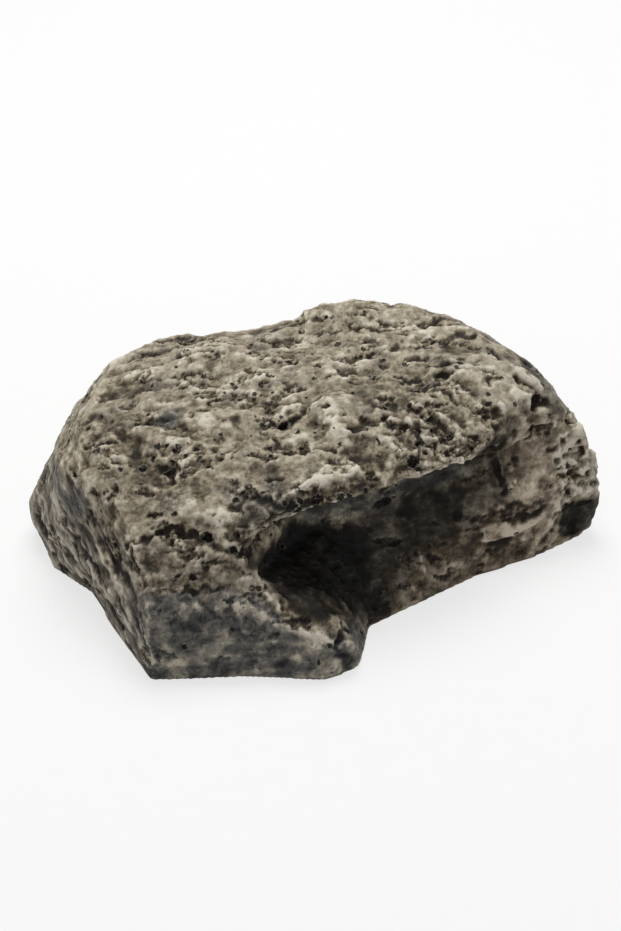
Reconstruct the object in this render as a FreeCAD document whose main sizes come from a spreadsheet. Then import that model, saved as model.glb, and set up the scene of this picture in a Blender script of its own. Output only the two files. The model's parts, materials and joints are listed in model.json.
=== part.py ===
"""Hide-a-key rock: a hollow cast rock with a key tub in its underside and a sliding cover.

Parametric document in millimetres. The origin is the middle of the rock's footprint at the ground,
+Z points up, +X is the long way, towards the end where the cover slides out, and -Y is the front,
with the natural hollow. The rock is a ruled loft through eight hand-measured outlines of the master
carving, with the main plates and hollows of its upper face. The tub, its adhesive bead, the seal,
the key pad and the cover are modelled about the middle of the key room and placed there.
"""
import FreeCAD, Part
import enum
import math
import os

import Sketcher

PARTS_FOLDER = "parts"

# Driving dimensions. Each becomes one cell of the sheet, whose alias is the name given here.
SIZES = {
    # the cast rock, and how far its cutters run past the solid
    "rock_length": 80.0,
    "rock_width": 60.0,
    "rock_height": 30.0,
    "cutter_overrun": 2.0,
    # how far the plates and hollows of the upper face run past it, and how many degrees their
    # sides lean
    "relief_root": 0.8,
    "relief_lean": 58.0,
    # the middle of the key room in the rock's footprint
    "room_centre_x": -1.0,
    "room_centre_y": 8.0,
    # the key room inside the tub, its depth taken from the tub's rim
    "room_length": 58.0,
    "room_width": 24.0,
    "room_depth": 10.6,
    # the moulded tub
    "tub_wall": 1.2,
    "tub_corner_radius": 2.0,
    "flange_thickness": 1.2,
    "flange_margin": 1.3,
    # the two rails under the flange, and the stop across their closed end
    "rail_wall": 1.0,
    "rail_lip": 0.8,
    "rail_bearing": 2.0,
    "stop_wall": 1.2,
    "ground_gap": 0.6,
    # the cover
    "tongue_thickness": 1.0,
    "tongue_reach": 2.0,
    "plate_drop": 0.8,
    "cover_overlap": 3.8,
    "cover_corner_radius": 1.5,
    "pull_lip_width": 1.4,
    "pull_lip_drop": 0.4,
    "grip_rib_width": 0.8,
    "grip_rib_drop": 0.4,
    "grip_rib_length": 15.0,
    "grip_rib_pitch": 2.0,
    "grip_rib_count": 6,
    "grip_setback": 3.0,
    # the seal on the tub's rim
    "seal_width": 1.4,
    "seal_thickness": 0.8,
    "seal_inset": 0.3,
    # the foam pad on the tub's roof
    "pad_thickness": 1.5,
    "pad_margin": 0.8,
    "pad_corner_radius": 1.5,
    # the adhesive bead between the tub's flange and the rock
    "adhesive_thickness": 0.4,
    "adhesive_inset": 0.6,
    # clearances
    "tub_fit": 0.3,
    "slide_fit": 0.2,
    "seal_gap": 0.3,
    "slot_fit": 0.4,
}

# Values worked out from the driving dimensions, as formulas of the sheet, in order.
FORMULAS = {
    # heights, from the ground up
    "lip_top": "ground_gap + rail_lip",
    "tongue_bottom": "lip_top + slide_fit",
    "cover_top": "tongue_bottom + tongue_thickness",
    "plate_bottom": "tongue_bottom - plate_drop",
    "bearing_bottom": "cover_top + slide_fit",
    "rim_height": "cover_top + seal_gap + seal_thickness",
    "flange_top": "rim_height + flange_thickness",
    "ledge_height": "flange_top + adhesive_thickness",
    "room_roof": "rim_height + room_depth",
    "tub_top": "room_roof + tub_wall",
    # half lengths along X, from the middle of the key room
    "tub_half_length": "room_length / 2 + tub_wall",
    "seal_half_length": "room_length / 2 + seal_inset + seal_width",
    "stop_face": "seal_half_length + seal_inset + slide_fit",
    "flange_left": "stop_face + stop_wall",
    "flange_right": "seal_half_length + flange_margin",
    "cover_left": "stop_face - slide_fit",
    "cover_right": "seal_half_length + cover_overlap",
    # half widths along Y, from the middle of the key room
    "tub_half_width": "room_width / 2 + tub_wall",
    "seal_half_width": "room_width / 2 + seal_inset + seal_width",
    "plate_half_width": "seal_half_width",
    "bearing_half_width": "seal_half_width + slide_fit",
    "lip_half_width": "plate_half_width + seal_inset",
    "tongue_half_width": "plate_half_width + tongue_reach",
    "rail_inner_half_width": "tongue_half_width + slide_fit",
    "flange_half_width": "rail_inner_half_width + rail_wall",
}

# The master carving, on which the outlines below were measured. The casting's own size is in SIZES.
MASTER_LENGTH = 80.0
MASTER_WIDTH = 60.0
MASTER_HEIGHT = 30.0

# Outlines of the carving, from the ground up. Each is cut at a height above the ground, with a slope
# in degrees along X and along Y. All have 22 corners, anticlockwise from the front left one.
OUTLINES = {
    "foot": (0.0, 0.0, 0.0, [
        (-35.2, -19.2), (-22.0, -24.2), (-12.0, -29.5), (-6.6, -28.6), (-4.2, -25.5), (-1.5, -21.3),
        (8.0, -19.3), (18.0, -17.2), (28.3, -16.6), (38.0, -14.6), (39.8, -7.0), (39.0, 8.4),
        (39.2, 21.0), (30.0, 28.5), (11.0, 28.3), (-4.6, 29.6), (-17.4, 28.8), (-31.0, 28.0),
        (-38.8, 21.0), (-39.6, 10.8), (-36.2, 2.9), (-36.0, -9.0)]),
    "lobe": (5.0, 0.0, 0.0, [
        (-35.4, -18.7), (-23.0, -23.6), (-13.0, -28.6), (-7.6, -28.6), (-5.6, -21.5), (0.5, -14.5),
        (9.0, -15.2), (18.0, -15.6), (29.0, -15.8), (40.0, -14.2), (40.0, -7.5), (40.0, 6.6),
        (38.4, 21.6), (29.4, 28.3), (9.4, 29.8), (-3.4, 29.1), (-18.6, 30.0), (-31.6, 28.9),
        (-39.8, 21.5), (-40.0, 13.5), (-37.6, 3.0), (-36.1, -10.0)]),
    "lobe_rim": (8.0, 0.0, 0.0, [
        (-35.0, -18.2), (-24.5, -21.2), (-16.0, -24.0), (-10.0, -25.5), (-8.0, -18.5), (0.5, -11.5),
        (9.5, -12.5), (18.5, -14.3), (29.0, -15.8), (40.0, -14.0), (40.0, -7.5), (39.0, 7.4),
        (39.1, 20.4), (30.0, 29.2), (10.6, 28.9), (-4.4, 30.0), (-17.6, 29.2), (-32.7, 27.4),
        (-39.3, 20.5), (-39.5, 11.5), (-37.4, 1.0), (-36.8, -10.6)]),
    "belly": (11.5, 0.0, 0.0, [
        (-34.6, -17.4), (-25.5, -18.4), (-19.0, -19.0), (-15.0, -14.5), (-8.5, -10.0), (0.5, -8.8),
        (10.0, -9.6), (19.0, -12.5), (28.0, -15.5), (39.6, -13.8), (40.0, -7.5), (39.8, 6.0),
        (37.4, 20.9), (28.0, 27.8), (9.2, 29.8), (-3.2, 29.1), (-18.8, 30.0), (-31.6, 27.5),
        (-38.1, 19.0), (-38.6, 9.0), (-37.0, -1.0), (-35.2, -10.2)]),
    "hollow": (17.0, 0.0, 0.0, [
        (-33.6, -9.5), (-27.0, -12.5), (-20.0, -16.5), (-15.5, -13.0), (-8.0, -9.3), (1.0, -8.8),
        (10.0, -9.6), (19.0, -10.2), (27.0, -10.0), (38.0, -12.6), (39.4, -7.0), (36.8, 7.0),
        (36.5, 18.5), (26.4, 27.9), (10.8, 28.4), (-6.4, 29.7), (-18.4, 28.5), (-31.0, 25.5),
        (-37.0, 15.5), (-38.4, 9.0), (-36.6, 1.0), (-34.6, -5.5)]),
    "lip": (22.0, 1.2, 0.0, [
        (-30.0, -4.0), (-22.0, -10.0), (-16.0, -14.0), (-11.0, -17.3), (-5.0, -18.0), (4.0, -17.5),
        (11.0, -17.0), (18.0, -15.5), (26.0, -11.0), (35.3, -9.0), (36.2, -2.8), (34.8, 4.0),
        (32.4, 14.9), (22.5, 22.4), (9.4, 26.8), (-5.6, 26.9), (-17.0, 28.5), (-27.5, 24.5),
        (-34.0, 15.3), (-37.2, 8.8), (-36.8, 3.0), (-33.5, -0.5)]),
    "shoulder": (25.0, 1.7, 2.3, [
        (-25.0, 0.5), (-18.0, -5.0), (-12.0, -9.0), (-6.0, -12.0), (0.5, -13.5), (6.0, -14.5),
        (12.0, -14.5), (18.0, -13.0), (25.0, -9.5), (32.0, -6.5), (33.6, -2.0), (31.4, 5.2),
        (27.5, 13.0), (20.0, 19.3), (8.5, 22.0), (-4.0, 24.2), (-15.8, 27.2), (-24.5, 23.6),
        (-30.5, 16.3), (-32.5, 10.0), (-32.0, 4.0), (-29.0, 2.0)]),
    "crest": (27.5, 3.4, 3.4, [
        (-10.0, 5.0), (-6.0, 2.0), (-2.0, -1.0), (2.0, -4.0), (6.0, -5.5), (9.0, -6.0),
        (13.0, -6.0), (17.0, -5.0), (21.0, -3.0), (25.0, -1.5), (27.2, 0.8), (27.5, 3.9),
        (25.3, 10.2), (18.0, 17.3), (8.5, 19.8), (3.5, 16.5), (-8.0, 18.5), (-15.0, 16.5),
        (-17.0, 13.0), (-16.0, 10.5), (-14.5, 8.5), (-12.5, 6.5)]),
}

# Plates that stand out of the upper face and hollows in it. Each is flat, on a plane like those of
# the outlines: a height above the ground at the origin, with a slope in degrees along X and along Y,
# of the face about it. How far it stands out, or is sunk in, and the corners of the flat follow.
RELIEF = {
    # the middle: a pale tongue, the hollow and the pit beside it, and the crevice to its left
    "tongue": (28.2, 8, 13, 0.7, [
        (-2.8, -2.2), (-1.6, -5.6), (-0.9, -8.6), (0.9, -8.2), (1.8, -4.8), (3.4, -3.2),
        (0.4, -1.9)]),
    "tongue_hollow": (28.8, 7, 18, -0.6, [
        (4.4, -5.6), (3.6, -8.0), (4.6, -8.6), (6.2, -7.8), (5.8, -6.0)]),
    "tongue_pit": (29.2, 6, 20, -0.9, [
        (1.4, -10.2), (0.6, -11.2), (1.3, -12.2), (2.4, -11.6), (2.3, -10.3)]),
    "crevice": (28.2, 9, 12, -0.7, [
        (-9.6, -2.0), (-9.2, -2.9), (-7.2, -3.4), (-5.0, -2.9), (-5.6, -2.5), (-7.6, -2.3)]),
    # the front edge: the brow over the lip, a wedge, two fingers and a broken bay
    "lip_brow": (29.6, 7, 21, 0.6, [
        (-10.4, -14.2), (-7.6, -15.2), (-3.2, -14.9), (-0.6, -14.2), (-1.4, -12.8), (-4.4, -12.2),
        (-8.2, -13.0)]),
    "wedge": (29.4, 5, 21, 0.6, [
        (3.6, -10.4), (4.8, -13.0), (6.0, -13.6), (6.2, -12.2), (5.0, -10.3)]),
    "finger_left": (31.2, 2, 26, 0.6, [
        (9.5, -10.6), (10.8, -12.8), (11.8, -14.4), (12.6, -13.8), (11.0, -10.8)]),
    "finger_right": (31.6, -1, 26, 0.6, [
        (13.4, -9.0), (14.6, -10.6), (15.4, -13.2), (16.4, -13.4), (16.4, -11.4), (14.7, -9.0)]),
    "lip_bay": (38.0, -1, 42, -0.8, [
        (7.3, -15.4), (7.1, -16.3), (8.0, -16.6), (9.0, -16.2), (8.7, -15.3)]),
    "fore_left_plate": (28.4, 10, 14, 0.5, [
        (-17.2, -4.8), (-15.4, -7.8), (-11.8, -8.8), (-10.6, -6.8), (-13.0, -4.2)]),
    "fore_plate": (28.2, 9, 14, 0.4, [
        (-7.6, -6.0), (-7.8, -8.6), (-5.2, -9.4), (-3.8, -7.8), (-4.8, -5.6)]),
    "fore_pits": (29.6, 10, 19, -0.5, [
        (-11.6, -10.4), (-11.4, -11.4), (-9.0, -11.4), (-7.8, -10.8), (-9.2, -10.2)]),
    # the left shoulder
    "pale_slab": (27.9, 9, 12, 0.5, [
        (-18.8, 3.8), (-18.2, 2.2), (-16.4, 0.8), (-14.0, 0.2), (-12.8, 1.4), (-15.2, 3.8)]),
    "left_block": (27.6, 8, 15, 0.5, [
        (-23.6, 1.8), (-22.8, 0.6), (-21.2, 0.2), (-20.8, 1.2), (-22.0, 2.2)]),
    "slate_scar": (28.3, 9, 9, -0.4, [
        (-23.4, 6.2), (-23.4, 5.0), (-21.0, 4.4), (-20.2, 5.4), (-21.2, 6.6)]),
    "left_plate": (30.0, 11, 2, 0.5, [
        (-27.4, 12.2), (-26.8, 9.8), (-23.8, 9.2), (-22.2, 10.8), (-24.6, 12.8)]),
    "back_left_plate": (32.2, 12, -5, 0.5, [
        (-25.4, 17.4), (-23.4, 15.4), (-19.2, 16.2), (-18.4, 18.2), (-21.6, 19.0)]),
    "left_hollow": (28.8, 10, 10, -0.5, [
        (-30.4, 5.8), (-30.0, 3.6), (-28.2, 2.4), (-27.4, 4.4), (-28.6, 6.4)]),
    "fore_left_hollow": (31.1, 16, 19, -0.6, [
        (-27.8, -1.4), (-27.4, -3.2), (-25.0, -4.2), (-23.8, -2.8), (-25.2, -1.2)]),
    # the top
    "middle_plate": (27.5, 3, 3, 0.5, [
        (-9.2, 8.2), (-8.0, 5.8), (-4.8, 5.2), (-3.6, 7.2), (-6.4, 9.0)]),
    "back_plate": (31.0, 5, -7, 0.5, [
        (-13.8, 19.2), (-12.6, 16.8), (-8.8, 16.2), (-6.6, 18.0), (-9.2, 20.2)]),
    "centre_plate": (27.5, 3, 3, 0.5, [
        (-0.4, 9.4), (1.0, 6.6), (4.6, 6.6), (5.8, 9.2), (3.2, 11.0)]),
    "hump": (27.5, 3, 3, 0.8, [
        (6.8, 16.6), (8.6, 14.2), (13.2, 13.0), (18.8, 11.2), (20.2, 12.2), (16.6, 14.8),
        (11.0, 17.0)]),
    "hump_plate": (27.5, 3, 3, 0.5, [
        (11.8, 8.8), (12.6, 6.8), (15.6, 5.6), (17.4, 6.8), (15.2, 9.2)]),
    "middle_hollow": (27.6, 4, 4, -0.5, [
        (-15.4, 12.2), (-15.0, 10.8), (-12.2, 10.0), (-10.8, 11.2), (-12.4, 12.6)]),
    "back_hollow": (27.5, 3, 3, -0.5, [
        (-4.4, 15.8), (-3.4, 14.0), (0.2, 13.4), (1.6, 14.6), (-0.6, 16.0)]),
    "centre_hollow": (27.5, 3, 3, -0.5, [
        (5.6, 3.6), (6.2, 1.6), (8.4, 0.6), (10.0, 2.4), (8.2, 4.0)]),
    # the right-hand slope
    "arch": (27.9, 3, 5, -0.8, [
        (12.8, -4.0), (13.4, -4.8), (16.4, -4.7), (18.2, -3.6), (18.6, -2.8), (16.6, -2.7)]),
    "umber_hollow": (28.0, 2, 4, -0.6, [
        (23.0, 2.6), (23.4, 0.8), (25.0, -0.2), (26.4, 0.8), (25.6, 2.4)]),
    "right_top_plate": (27.5, 3, 3, 0.5, [
        (19.2, 7.6), (20.8, 5.2), (24.2, 5.0), (25.4, 6.6), (23.2, 8.2)]),
    "right_plate": (32.9, -6, 28, 0.5, [
        (21.2, -4.6), (22.2, -7.0), (25.4, -7.6), (27.8, -6.2), (25.6, -4.2)]),
    "right_flake": (40.4, -20, 27, 0.6, [
        (30.1, -4.6), (31.2, -7.0), (32.8, -8.0), (33.6, -7.2), (31.5, -4.5)]),
}

XY = "XY_Plane"
YZ = "YZ_Plane"


class Axis(enum.IntEnum):
    """How a sketch counts its own axes. The X axis starts at the sketch's origin."""

    X = -1
    Y = -2


class End(enum.IntEnum):
    """How a sketch counts the ends of a line."""

    START = 1
    FINISH = 2


doc = FreeCAD.newDocument("hide_a_key_rock")


# ---------------------------------------------------------------- the sheet

def make_sheet():
    """Write the driving dimensions and the formulas, one to a row, with their names as aliases."""
    sheet = doc.addObject("Spreadsheet::Sheet", "sizes")
    row = 1
    for name, value in SIZES.items():
        sheet.set(f"A{row}", name)
        sheet.set(f"B{row}", str(value))
        sheet.setAlias(f"B{row}", name)
        row += 1
    doc.recompute()
    for name, formula in FORMULAS.items():
        sheet.set(f"A{row}", name)
        sheet.set(f"B{row}", "=" + formula)
        sheet.setAlias(f"B{row}", name)
        doc.recompute()
        row += 1
    return sheet


sheet = make_sheet()
NAMES = sorted(list(SIZES) + list(FORMULAS), key=len, reverse=True)


def bound(formula):
    """Return a formula of the sheet's names as an expression for another object."""
    words = []
    for word in formula.replace("(", "( ").replace(")", " )").split():
        sign = "-" if word.startswith("-") and len(word) > 1 else ""
        name = word[len(sign):]
        words.append(sign + ("sizes." + name if name in NAMES else name))
    return " ".join(words)


def value(formula):
    """Return what a formula of the sheet's names comes to."""
    result = sheet.evalExpression(bound(formula))
    return float(getattr(result, "Value", result))


# ---------------------------------------------------------------- sketches and features

def new_body(label):
    """Return an empty body with its label, which also names its file."""
    body = doc.addObject("PartDesign::Body", label)
    body.Label = label
    return body


def plane_of(body, role):
    """Return one of the body's own origin planes."""
    return next(f for f in body.Origin.OriginFeatures if f.Role == role)


def new_sketch(body, name, role=XY, offset="0"):
    """Return a sketch on one of the body's origin planes, moved along its normal by a formula."""
    sketch = body.newObject("Sketcher::SketchObject", name)
    sketch.AttachmentSupport = [(plane_of(body, role), "")]
    sketch.MapMode = "FlatFace"
    sketch.setExpression("AttachmentOffset.Base.z", bound(offset))
    return sketch


def hold(sketch, kind, line, end, axis, formula):
    """Hold one coordinate of a line's end to a formula, measured from the sketch's origin."""
    size = value(formula)
    if abs(size) < 1e-9:
        sketch.addConstraint(Sketcher.Constraint("PointOnObject", line, end, axis))
        return
    if size > 0:
        rule = Sketcher.Constraint(kind, Axis.X, End.START, line, end, size)
        expression = bound(formula)
    else:
        rule = Sketcher.Constraint(kind, line, end, Axis.X, End.START, -size)
        expression = f"-({bound(formula)})"
    index = sketch.addConstraint(rule)
    sketch.setExpression(f"Constraints[{index}]", expression)


def draw_polygon(sketch, corners):
    """Draw a closed outline whose corners are pairs of formulas, each held from the origin."""
    first = sketch.GeometryCount
    places = [FreeCAD.Vector(value(u), value(v), 0) for u, v in corners]
    for here, there in zip(places, places[1:] + places[:1]):
        sketch.addGeometry(Part.LineSegment(here, there), False)
    for number, (u, v) in enumerate(corners):
        line = first + number
        before = first + (number - 1) % len(corners)
        sketch.addConstraint(Sketcher.Constraint("Coincident", before, End.FINISH, line, End.START))
        hold(sketch, "DistanceX", line, End.START, Axis.Y, u)
        hold(sketch, "DistanceY", line, End.START, Axis.X, v)


def draw_rectangle(sketch, left, right, front, back):
    """Draw a rectangle between four formulas."""
    draw_polygon(sketch, [(left, front), (right, front), (right, back), (left, back)])


def plan(body, name, offset, half_length, half_width, right=None):
    """Return a sketch of a rectangle about the origin at a height; right may differ from the left."""
    sketch = new_sketch(body, name, XY, offset)
    draw_rectangle(sketch, "-" + half_length, right or half_length, "-" + half_width, half_width)
    return sketch


def pad(body, sketch, length, down=False):
    """Add the sketch's area along its normal, or against it, by a formula."""
    feature = body.newObject("PartDesign::Pad", "pad_" + sketch.Name)
    feature.Profile = sketch
    feature.Reversed = down
    feature.setExpression("Length", bound(length))
    doc.recompute()
    return feature


def pocket(body, sketch, depth):
    """Cut the sketch's area upwards by a formula, and check that it took something away."""
    before = body.Shape.Volume
    feature = body.newObject("PartDesign::Pocket", "cut_" + sketch.Name)
    feature.Profile = sketch
    feature.Reversed = True
    feature.setExpression("Length", bound(depth))
    doc.recompute()
    if not body.Shape.Volume < before:
        raise RuntimeError(f"{feature.Name} cuts nothing")
    return feature


def round_upright_edges(body, radius, chosen):
    """Round the body's upright edges whose middle the test chooses."""
    base = body.Tip
    names = []
    for number, edge in enumerate(base.Shape.Edges, start=1):
        low, high = edge.BoundBox.ZMin, edge.BoundBox.ZMax
        upright = edge.BoundBox.XLength < 1e-6 and edge.BoundBox.YLength < 1e-6 and high > low
        if upright and chosen(edge.CenterOfMass):
            names.append(f"Edge{number}")
    feature = body.newObject("PartDesign::Fillet", "rounded_corners")
    feature.Base = (base, names)
    feature.setExpression("Radius", bound(radius))
    doc.recompute()
    return feature


def place_at_room(body):
    """Place a body that was modelled about the middle of the key room."""
    body.setExpression("Placement.Base.x", bound("room_centre_x"))
    body.setExpression("Placement.Base.y", bound("room_centre_y"))


# ---------------------------------------------------------------- the rock

def sloping_sketch(body, name, height, slope_x, slope_y, corners, middle=(0.0, 0.0)):
    """Return a sketch of corners given in plan, on a plane with a slope along X and along Y.

    The height is that of the plane at the middle. The middle and the corners are scaled to the
    casting's length and width.
    """
    middle_x, middle_y = middle
    sketch = new_sketch(body, name, XY, f"rock_height * {height} / {MASTER_HEIGHT}")
    sketch.AttachmentOffset = FreeCAD.Placement(
        FreeCAD.Vector(0, 0, 0), FreeCAD.Rotation(0, -slope_x, slope_y))
    sketch.setExpression(
        "AttachmentOffset.Base.x", bound(f"rock_length * {middle_x} / {MASTER_LENGTH}"))
    sketch.setExpression(
        "AttachmentOffset.Base.y", bound(f"rock_width * {middle_y} / {MASTER_WIDTH}"))
    along, across = math.radians(slope_x), math.radians(slope_y)
    draw_polygon(sketch, [
        (f"rock_length * {(x - middle_x) / math.cos(along)} / {MASTER_LENGTH}"
         f" + rock_width * {(y - middle_y) * math.tan(across) * math.tan(along)} / {MASTER_WIDTH}",
         f"rock_width * {(y - middle_y) / math.cos(across)} / {MASTER_WIDTH}")
        for x, y in corners])
    return sketch


def outline_sketch(body, name):
    """Return one outline of the carving."""
    height, slope_x, slope_y, corners = OUTLINES[name]
    return sloping_sketch(body, name, height, slope_x, slope_y, corners)


def make_relief_tool(name):
    """Return a block that widens from its flat: a plate, or what a hollow takes away.

    Its plane is held at the flat's own middle, so that it stays on the face when a size changes.
    """
    height, slope_x, slope_y, relief, corners = RELIEF[name]
    middle_x = sum(x for x, y in corners) / len(corners)
    middle_y = sum(y for x, y in corners) / len(corners)
    along, across = math.radians(slope_x), math.radians(slope_y)
    rise = middle_x * math.tan(along) + middle_y * math.tan(across) / math.cos(along)
    tool = new_body(name)
    flat = sloping_sketch(
        tool, name + "_flat", height + rise + relief, slope_x, slope_y, corners,
        (middle_x, middle_y))
    depth = f"rock_height * {abs(relief)} / {MASTER_HEIGHT} + relief_root"
    block = pad(tool, flat, depth, down=relief > 0)
    block.setExpression("TaperAngle", bound("relief_lean"))
    return tool


def join_tools(body, name, kind, tools):
    """Fuse tools to the body, or cut them from it, in one go, and check that its volume changed."""
    before = body.Shape.Volume
    joint = body.newObject("PartDesign::Boolean", name)
    joint.Type = kind
    joint.setObjects(tools)
    doc.recompute()
    after = body.Shape.Volume
    if not (after > before if kind == "Fuse" else after < before):
        raise RuntimeError(f"{name} changes nothing")
    return joint


def make_rock_shell():
    """The cast rock, with the tub's recess and pocket and the cover's slot cut in its underside."""
    body = new_body("rock_shell")
    sketches = [outline_sketch(body, name) for name in OUTLINES]
    doc.recompute()
    loft = body.newObject("PartDesign::AdditiveLoft", "carving")
    loft.Profile = sketches[0]
    loft.Sections = sketches[1:]
    loft.Ruled = True
    doc.recompute()

    plates = [make_relief_tool(name) for name in RELIEF if RELIEF[name][3] > 0]
    hollows = [make_relief_tool(name) for name in RELIEF if RELIEF[name][3] < 0]
    join_tools(body, "plates", "Fuse", plates)
    join_tools(body, "hollows", "Cut", hollows)

    recess = new_sketch(body, "flange_recess")
    draw_rectangle(
        recess,
        "room_centre_x - flange_left - tub_fit", "room_centre_x + flange_right + tub_fit",
        "room_centre_y - flange_half_width - tub_fit", "room_centre_y + flange_half_width + tub_fit")
    pocket(body, recess, "ledge_height")

    hole = new_sketch(body, "tub_pocket")
    draw_rectangle(
        hole,
        "room_centre_x - tub_half_length - tub_fit", "room_centre_x + tub_half_length + tub_fit",
        "room_centre_y - tub_half_width - tub_fit", "room_centre_y + tub_half_width + tub_fit")
    pocket(body, hole, "tub_top + tub_fit")

    slot = new_sketch(body, "cover_slot")
    draw_rectangle(
        slot,
        "room_centre_x + flange_right", "rock_length / 2 + cutter_overrun",
        "room_centre_y - tongue_half_width - slot_fit",
        "room_centre_y + tongue_half_width + slot_fit")
    pocket(body, slot, "cover_top + slot_fit")
    return body


# ---------------------------------------------------------------- what is fitted in the rock

def draw_rail(body, name, side):
    """Add one rail: a channel open towards the middle, whose lip carries the cover's tongue."""
    sketch = new_sketch(body, name, YZ, "-stop_face")
    corners = [
        ("flange_half_width", "ground_gap"), ("lip_half_width", "ground_gap"),
        ("lip_half_width", "lip_top"), ("rail_inner_half_width", "lip_top"),
        ("rail_inner_half_width", "bearing_bottom"), ("bearing_half_width", "bearing_bottom"),
        ("bearing_half_width", "rim_height"), ("flange_half_width", "rim_height")]
    draw_polygon(sketch, [(side + y, z) for y, z in corners])
    pad(body, sketch, "stop_face + flange_right")


def make_key_tub():
    """The moulded tub: flange, walls and roof, with two rails and a stop for the cover below."""
    body = new_body("key_tub")
    flange = plan(body, "flange", "rim_height", "flange_left", "flange_half_width", "flange_right")
    pad(body, flange, "flange_thickness")
    walls = plan(body, "walls", "rim_height", "tub_half_length", "tub_half_width")
    pad(body, walls, "room_depth + tub_wall")
    room = plan(body, "room", "rim_height", "room_length / 2", "room_width / 2")
    pocket(body, room, "room_depth")
    draw_rail(body, "front_rail", "-")
    draw_rail(body, "rear_rail", "")
    stop = new_sketch(body, "stop", XY, "ground_gap")
    draw_rectangle(stop, "-flange_left", "-stop_face", "-flange_half_width", "flange_half_width")
    pad(body, stop, "rim_height - ground_gap")
    half_length = value("tub_half_length")
    round_upright_edges(
        body, "tub_corner_radius",
        lambda middle: abs(abs(middle.x) - half_length) < 1e-6 and middle.z > value("flange_top"))
    place_at_room(body)
    return body


def make_ring(label, bottom, thickness, outer, inner):
    """A flat rectangular ring between an outer and an inner pair of half sizes."""
    body = new_body(label)
    pad(body, plan(body, label + "_outside", bottom, *outer), thickness)
    pocket(body, plan(body, label + "_inside", bottom, *inner), thickness)
    place_at_room(body)
    return body


def make_tub_adhesive():
    """The bead that bonds the tub's flange to the ledge in the rock."""
    return make_ring(
        "tub_adhesive", "flange_top", "adhesive_thickness",
        ("( flange_left - adhesive_inset )", "( flange_half_width - adhesive_inset )",
         "( flange_right - adhesive_inset )"),
        ("( tub_half_length + adhesive_inset )", "( tub_half_width + adhesive_inset )"))


def make_cover_seal():
    """The foam strip round the tub's mouth, just above the cover."""
    return make_ring(
        "cover_seal", "rim_height - seal_thickness", "seal_thickness",
        ("seal_half_length", "seal_half_width"),
        ("( room_length / 2 + seal_inset )", "( room_width / 2 + seal_inset )"))


def make_key_pad():
    """The foam pad on the tub's roof, which stops the key rattling."""
    body = new_body("key_pad")
    area = plan(
        body, "pad_area", "room_roof",
        "( room_length / 2 - pad_margin )", "( room_width / 2 - pad_margin )")
    pad(body, area, "pad_thickness", down=True)
    round_upright_edges(body, "pad_corner_radius", lambda middle: True)
    place_at_room(body)
    return body


def make_slide_cover():
    """The cover: a plate with a tongue along each side, a ribbed grip and a pull lip."""
    body = new_body("slide_cover")
    plate = plan(body, "plate", "plate_bottom", "cover_left", "plate_half_width", "cover_right")
    pad(body, plate, "cover_top - plate_bottom")
    tongues = plan(
        body, "tongues", "tongue_bottom", "cover_left", "tongue_half_width", "cover_right")
    pad(body, tongues, "tongue_thickness")
    right = value("cover_right")
    round_upright_edges(
        body, "cover_corner_radius",
        lambda middle: abs(middle.x - right) < 1e-6 and middle.z > value("tongue_bottom"))

    lip = new_sketch(body, "pull_lip", XY, "plate_bottom")
    draw_rectangle(
        lip, "cover_right - pull_lip_width", "cover_right",
        "-grip_rib_length / 2", "grip_rib_length / 2")
    pad(body, lip, "pull_lip_drop", down=True)

    rib = new_sketch(body, "grip_rib", XY, "plate_bottom")
    rib_right = "cover_right - pull_lip_width - grip_setback"
    draw_rectangle(
        rib, rib_right + " - grip_rib_width", rib_right,
        "-grip_rib_length / 2", "grip_rib_length / 2")
    first_rib = pad(body, rib, "grip_rib_drop", down=True)
    ribs = body.newObject("PartDesign::LinearPattern", "grip_ribs")
    ribs.Originals = [first_rib]
    ribs.Direction = (rib, ["H_Axis"])
    ribs.Reversed = True
    ribs.setExpression("Length", bound("grip_rib_pitch * ( grip_rib_count - 1 )"))
    ribs.setExpression("Occurrences", bound("grip_rib_count"))
    body.Tip = ribs
    doc.recompute()
    place_at_room(body)
    return body


# ---------------------------------------------------------------- build, check and export

def check_document():
    """Stop if any object of the document failed."""
    for item in doc.Objects:
        if "Invalid" in item.State or "Error" in item.State:
            raise RuntimeError(f"{item.Label} failed: {item.State}")


def export(body):
    """Check one sub-part's shape and write it to its STEP file."""
    shape = body.Shape
    if shape.isNull() or not shape.isValid():
        raise RuntimeError(f"{body.Label} has no valid shape")
    shape.exportStep(os.path.join(PARTS_FOLDER, body.Label + ".step"))
    box = shape.BoundBox
    print(
        f"{body.Label}: {len(shape.Solids)} solid, {shape.Volume:.1f} mm3,"
        f" X {box.XMin:.2f}..{box.XMax:.2f}, Y {box.YMin:.2f}..{box.YMax:.2f},"
        f" Z {box.ZMin:.2f}..{box.ZMax:.2f}")


bodies = [
    make_rock_shell(),
    make_key_tub(),
    make_tub_adhesive(),
    make_cover_seal(),
    make_key_pad(),
    make_slide_cover(),
]
doc.recompute()
check_document()
os.makedirs(PARTS_FOLDER, exist_ok=True)
for body in bodies:
    export(body)
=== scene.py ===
"""Looks of a hide-a-key rock, built round its packed construction model.

The construction holds the casting's main form, the tub, the seal, the pad and the sliding cover.
This script keeps every fitted piece where it is and gives the casting its weathered skin: lumps,
bedding creases, ledges and listed cuts, gas holes set out by Geometry Nodes, and a painted
finish that follows the relief. Lengths inside the classes are millimetres, and MM turns them
into Blender's metres.
"""
from __future__ import annotations

import json
import logging
import math
from dataclasses import dataclass, field
from enum import Enum

import bmesh
import bpy
import numpy as np
from mathutils import Matrix, Vector
from mathutils.bvhtree import BVHTree

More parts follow.
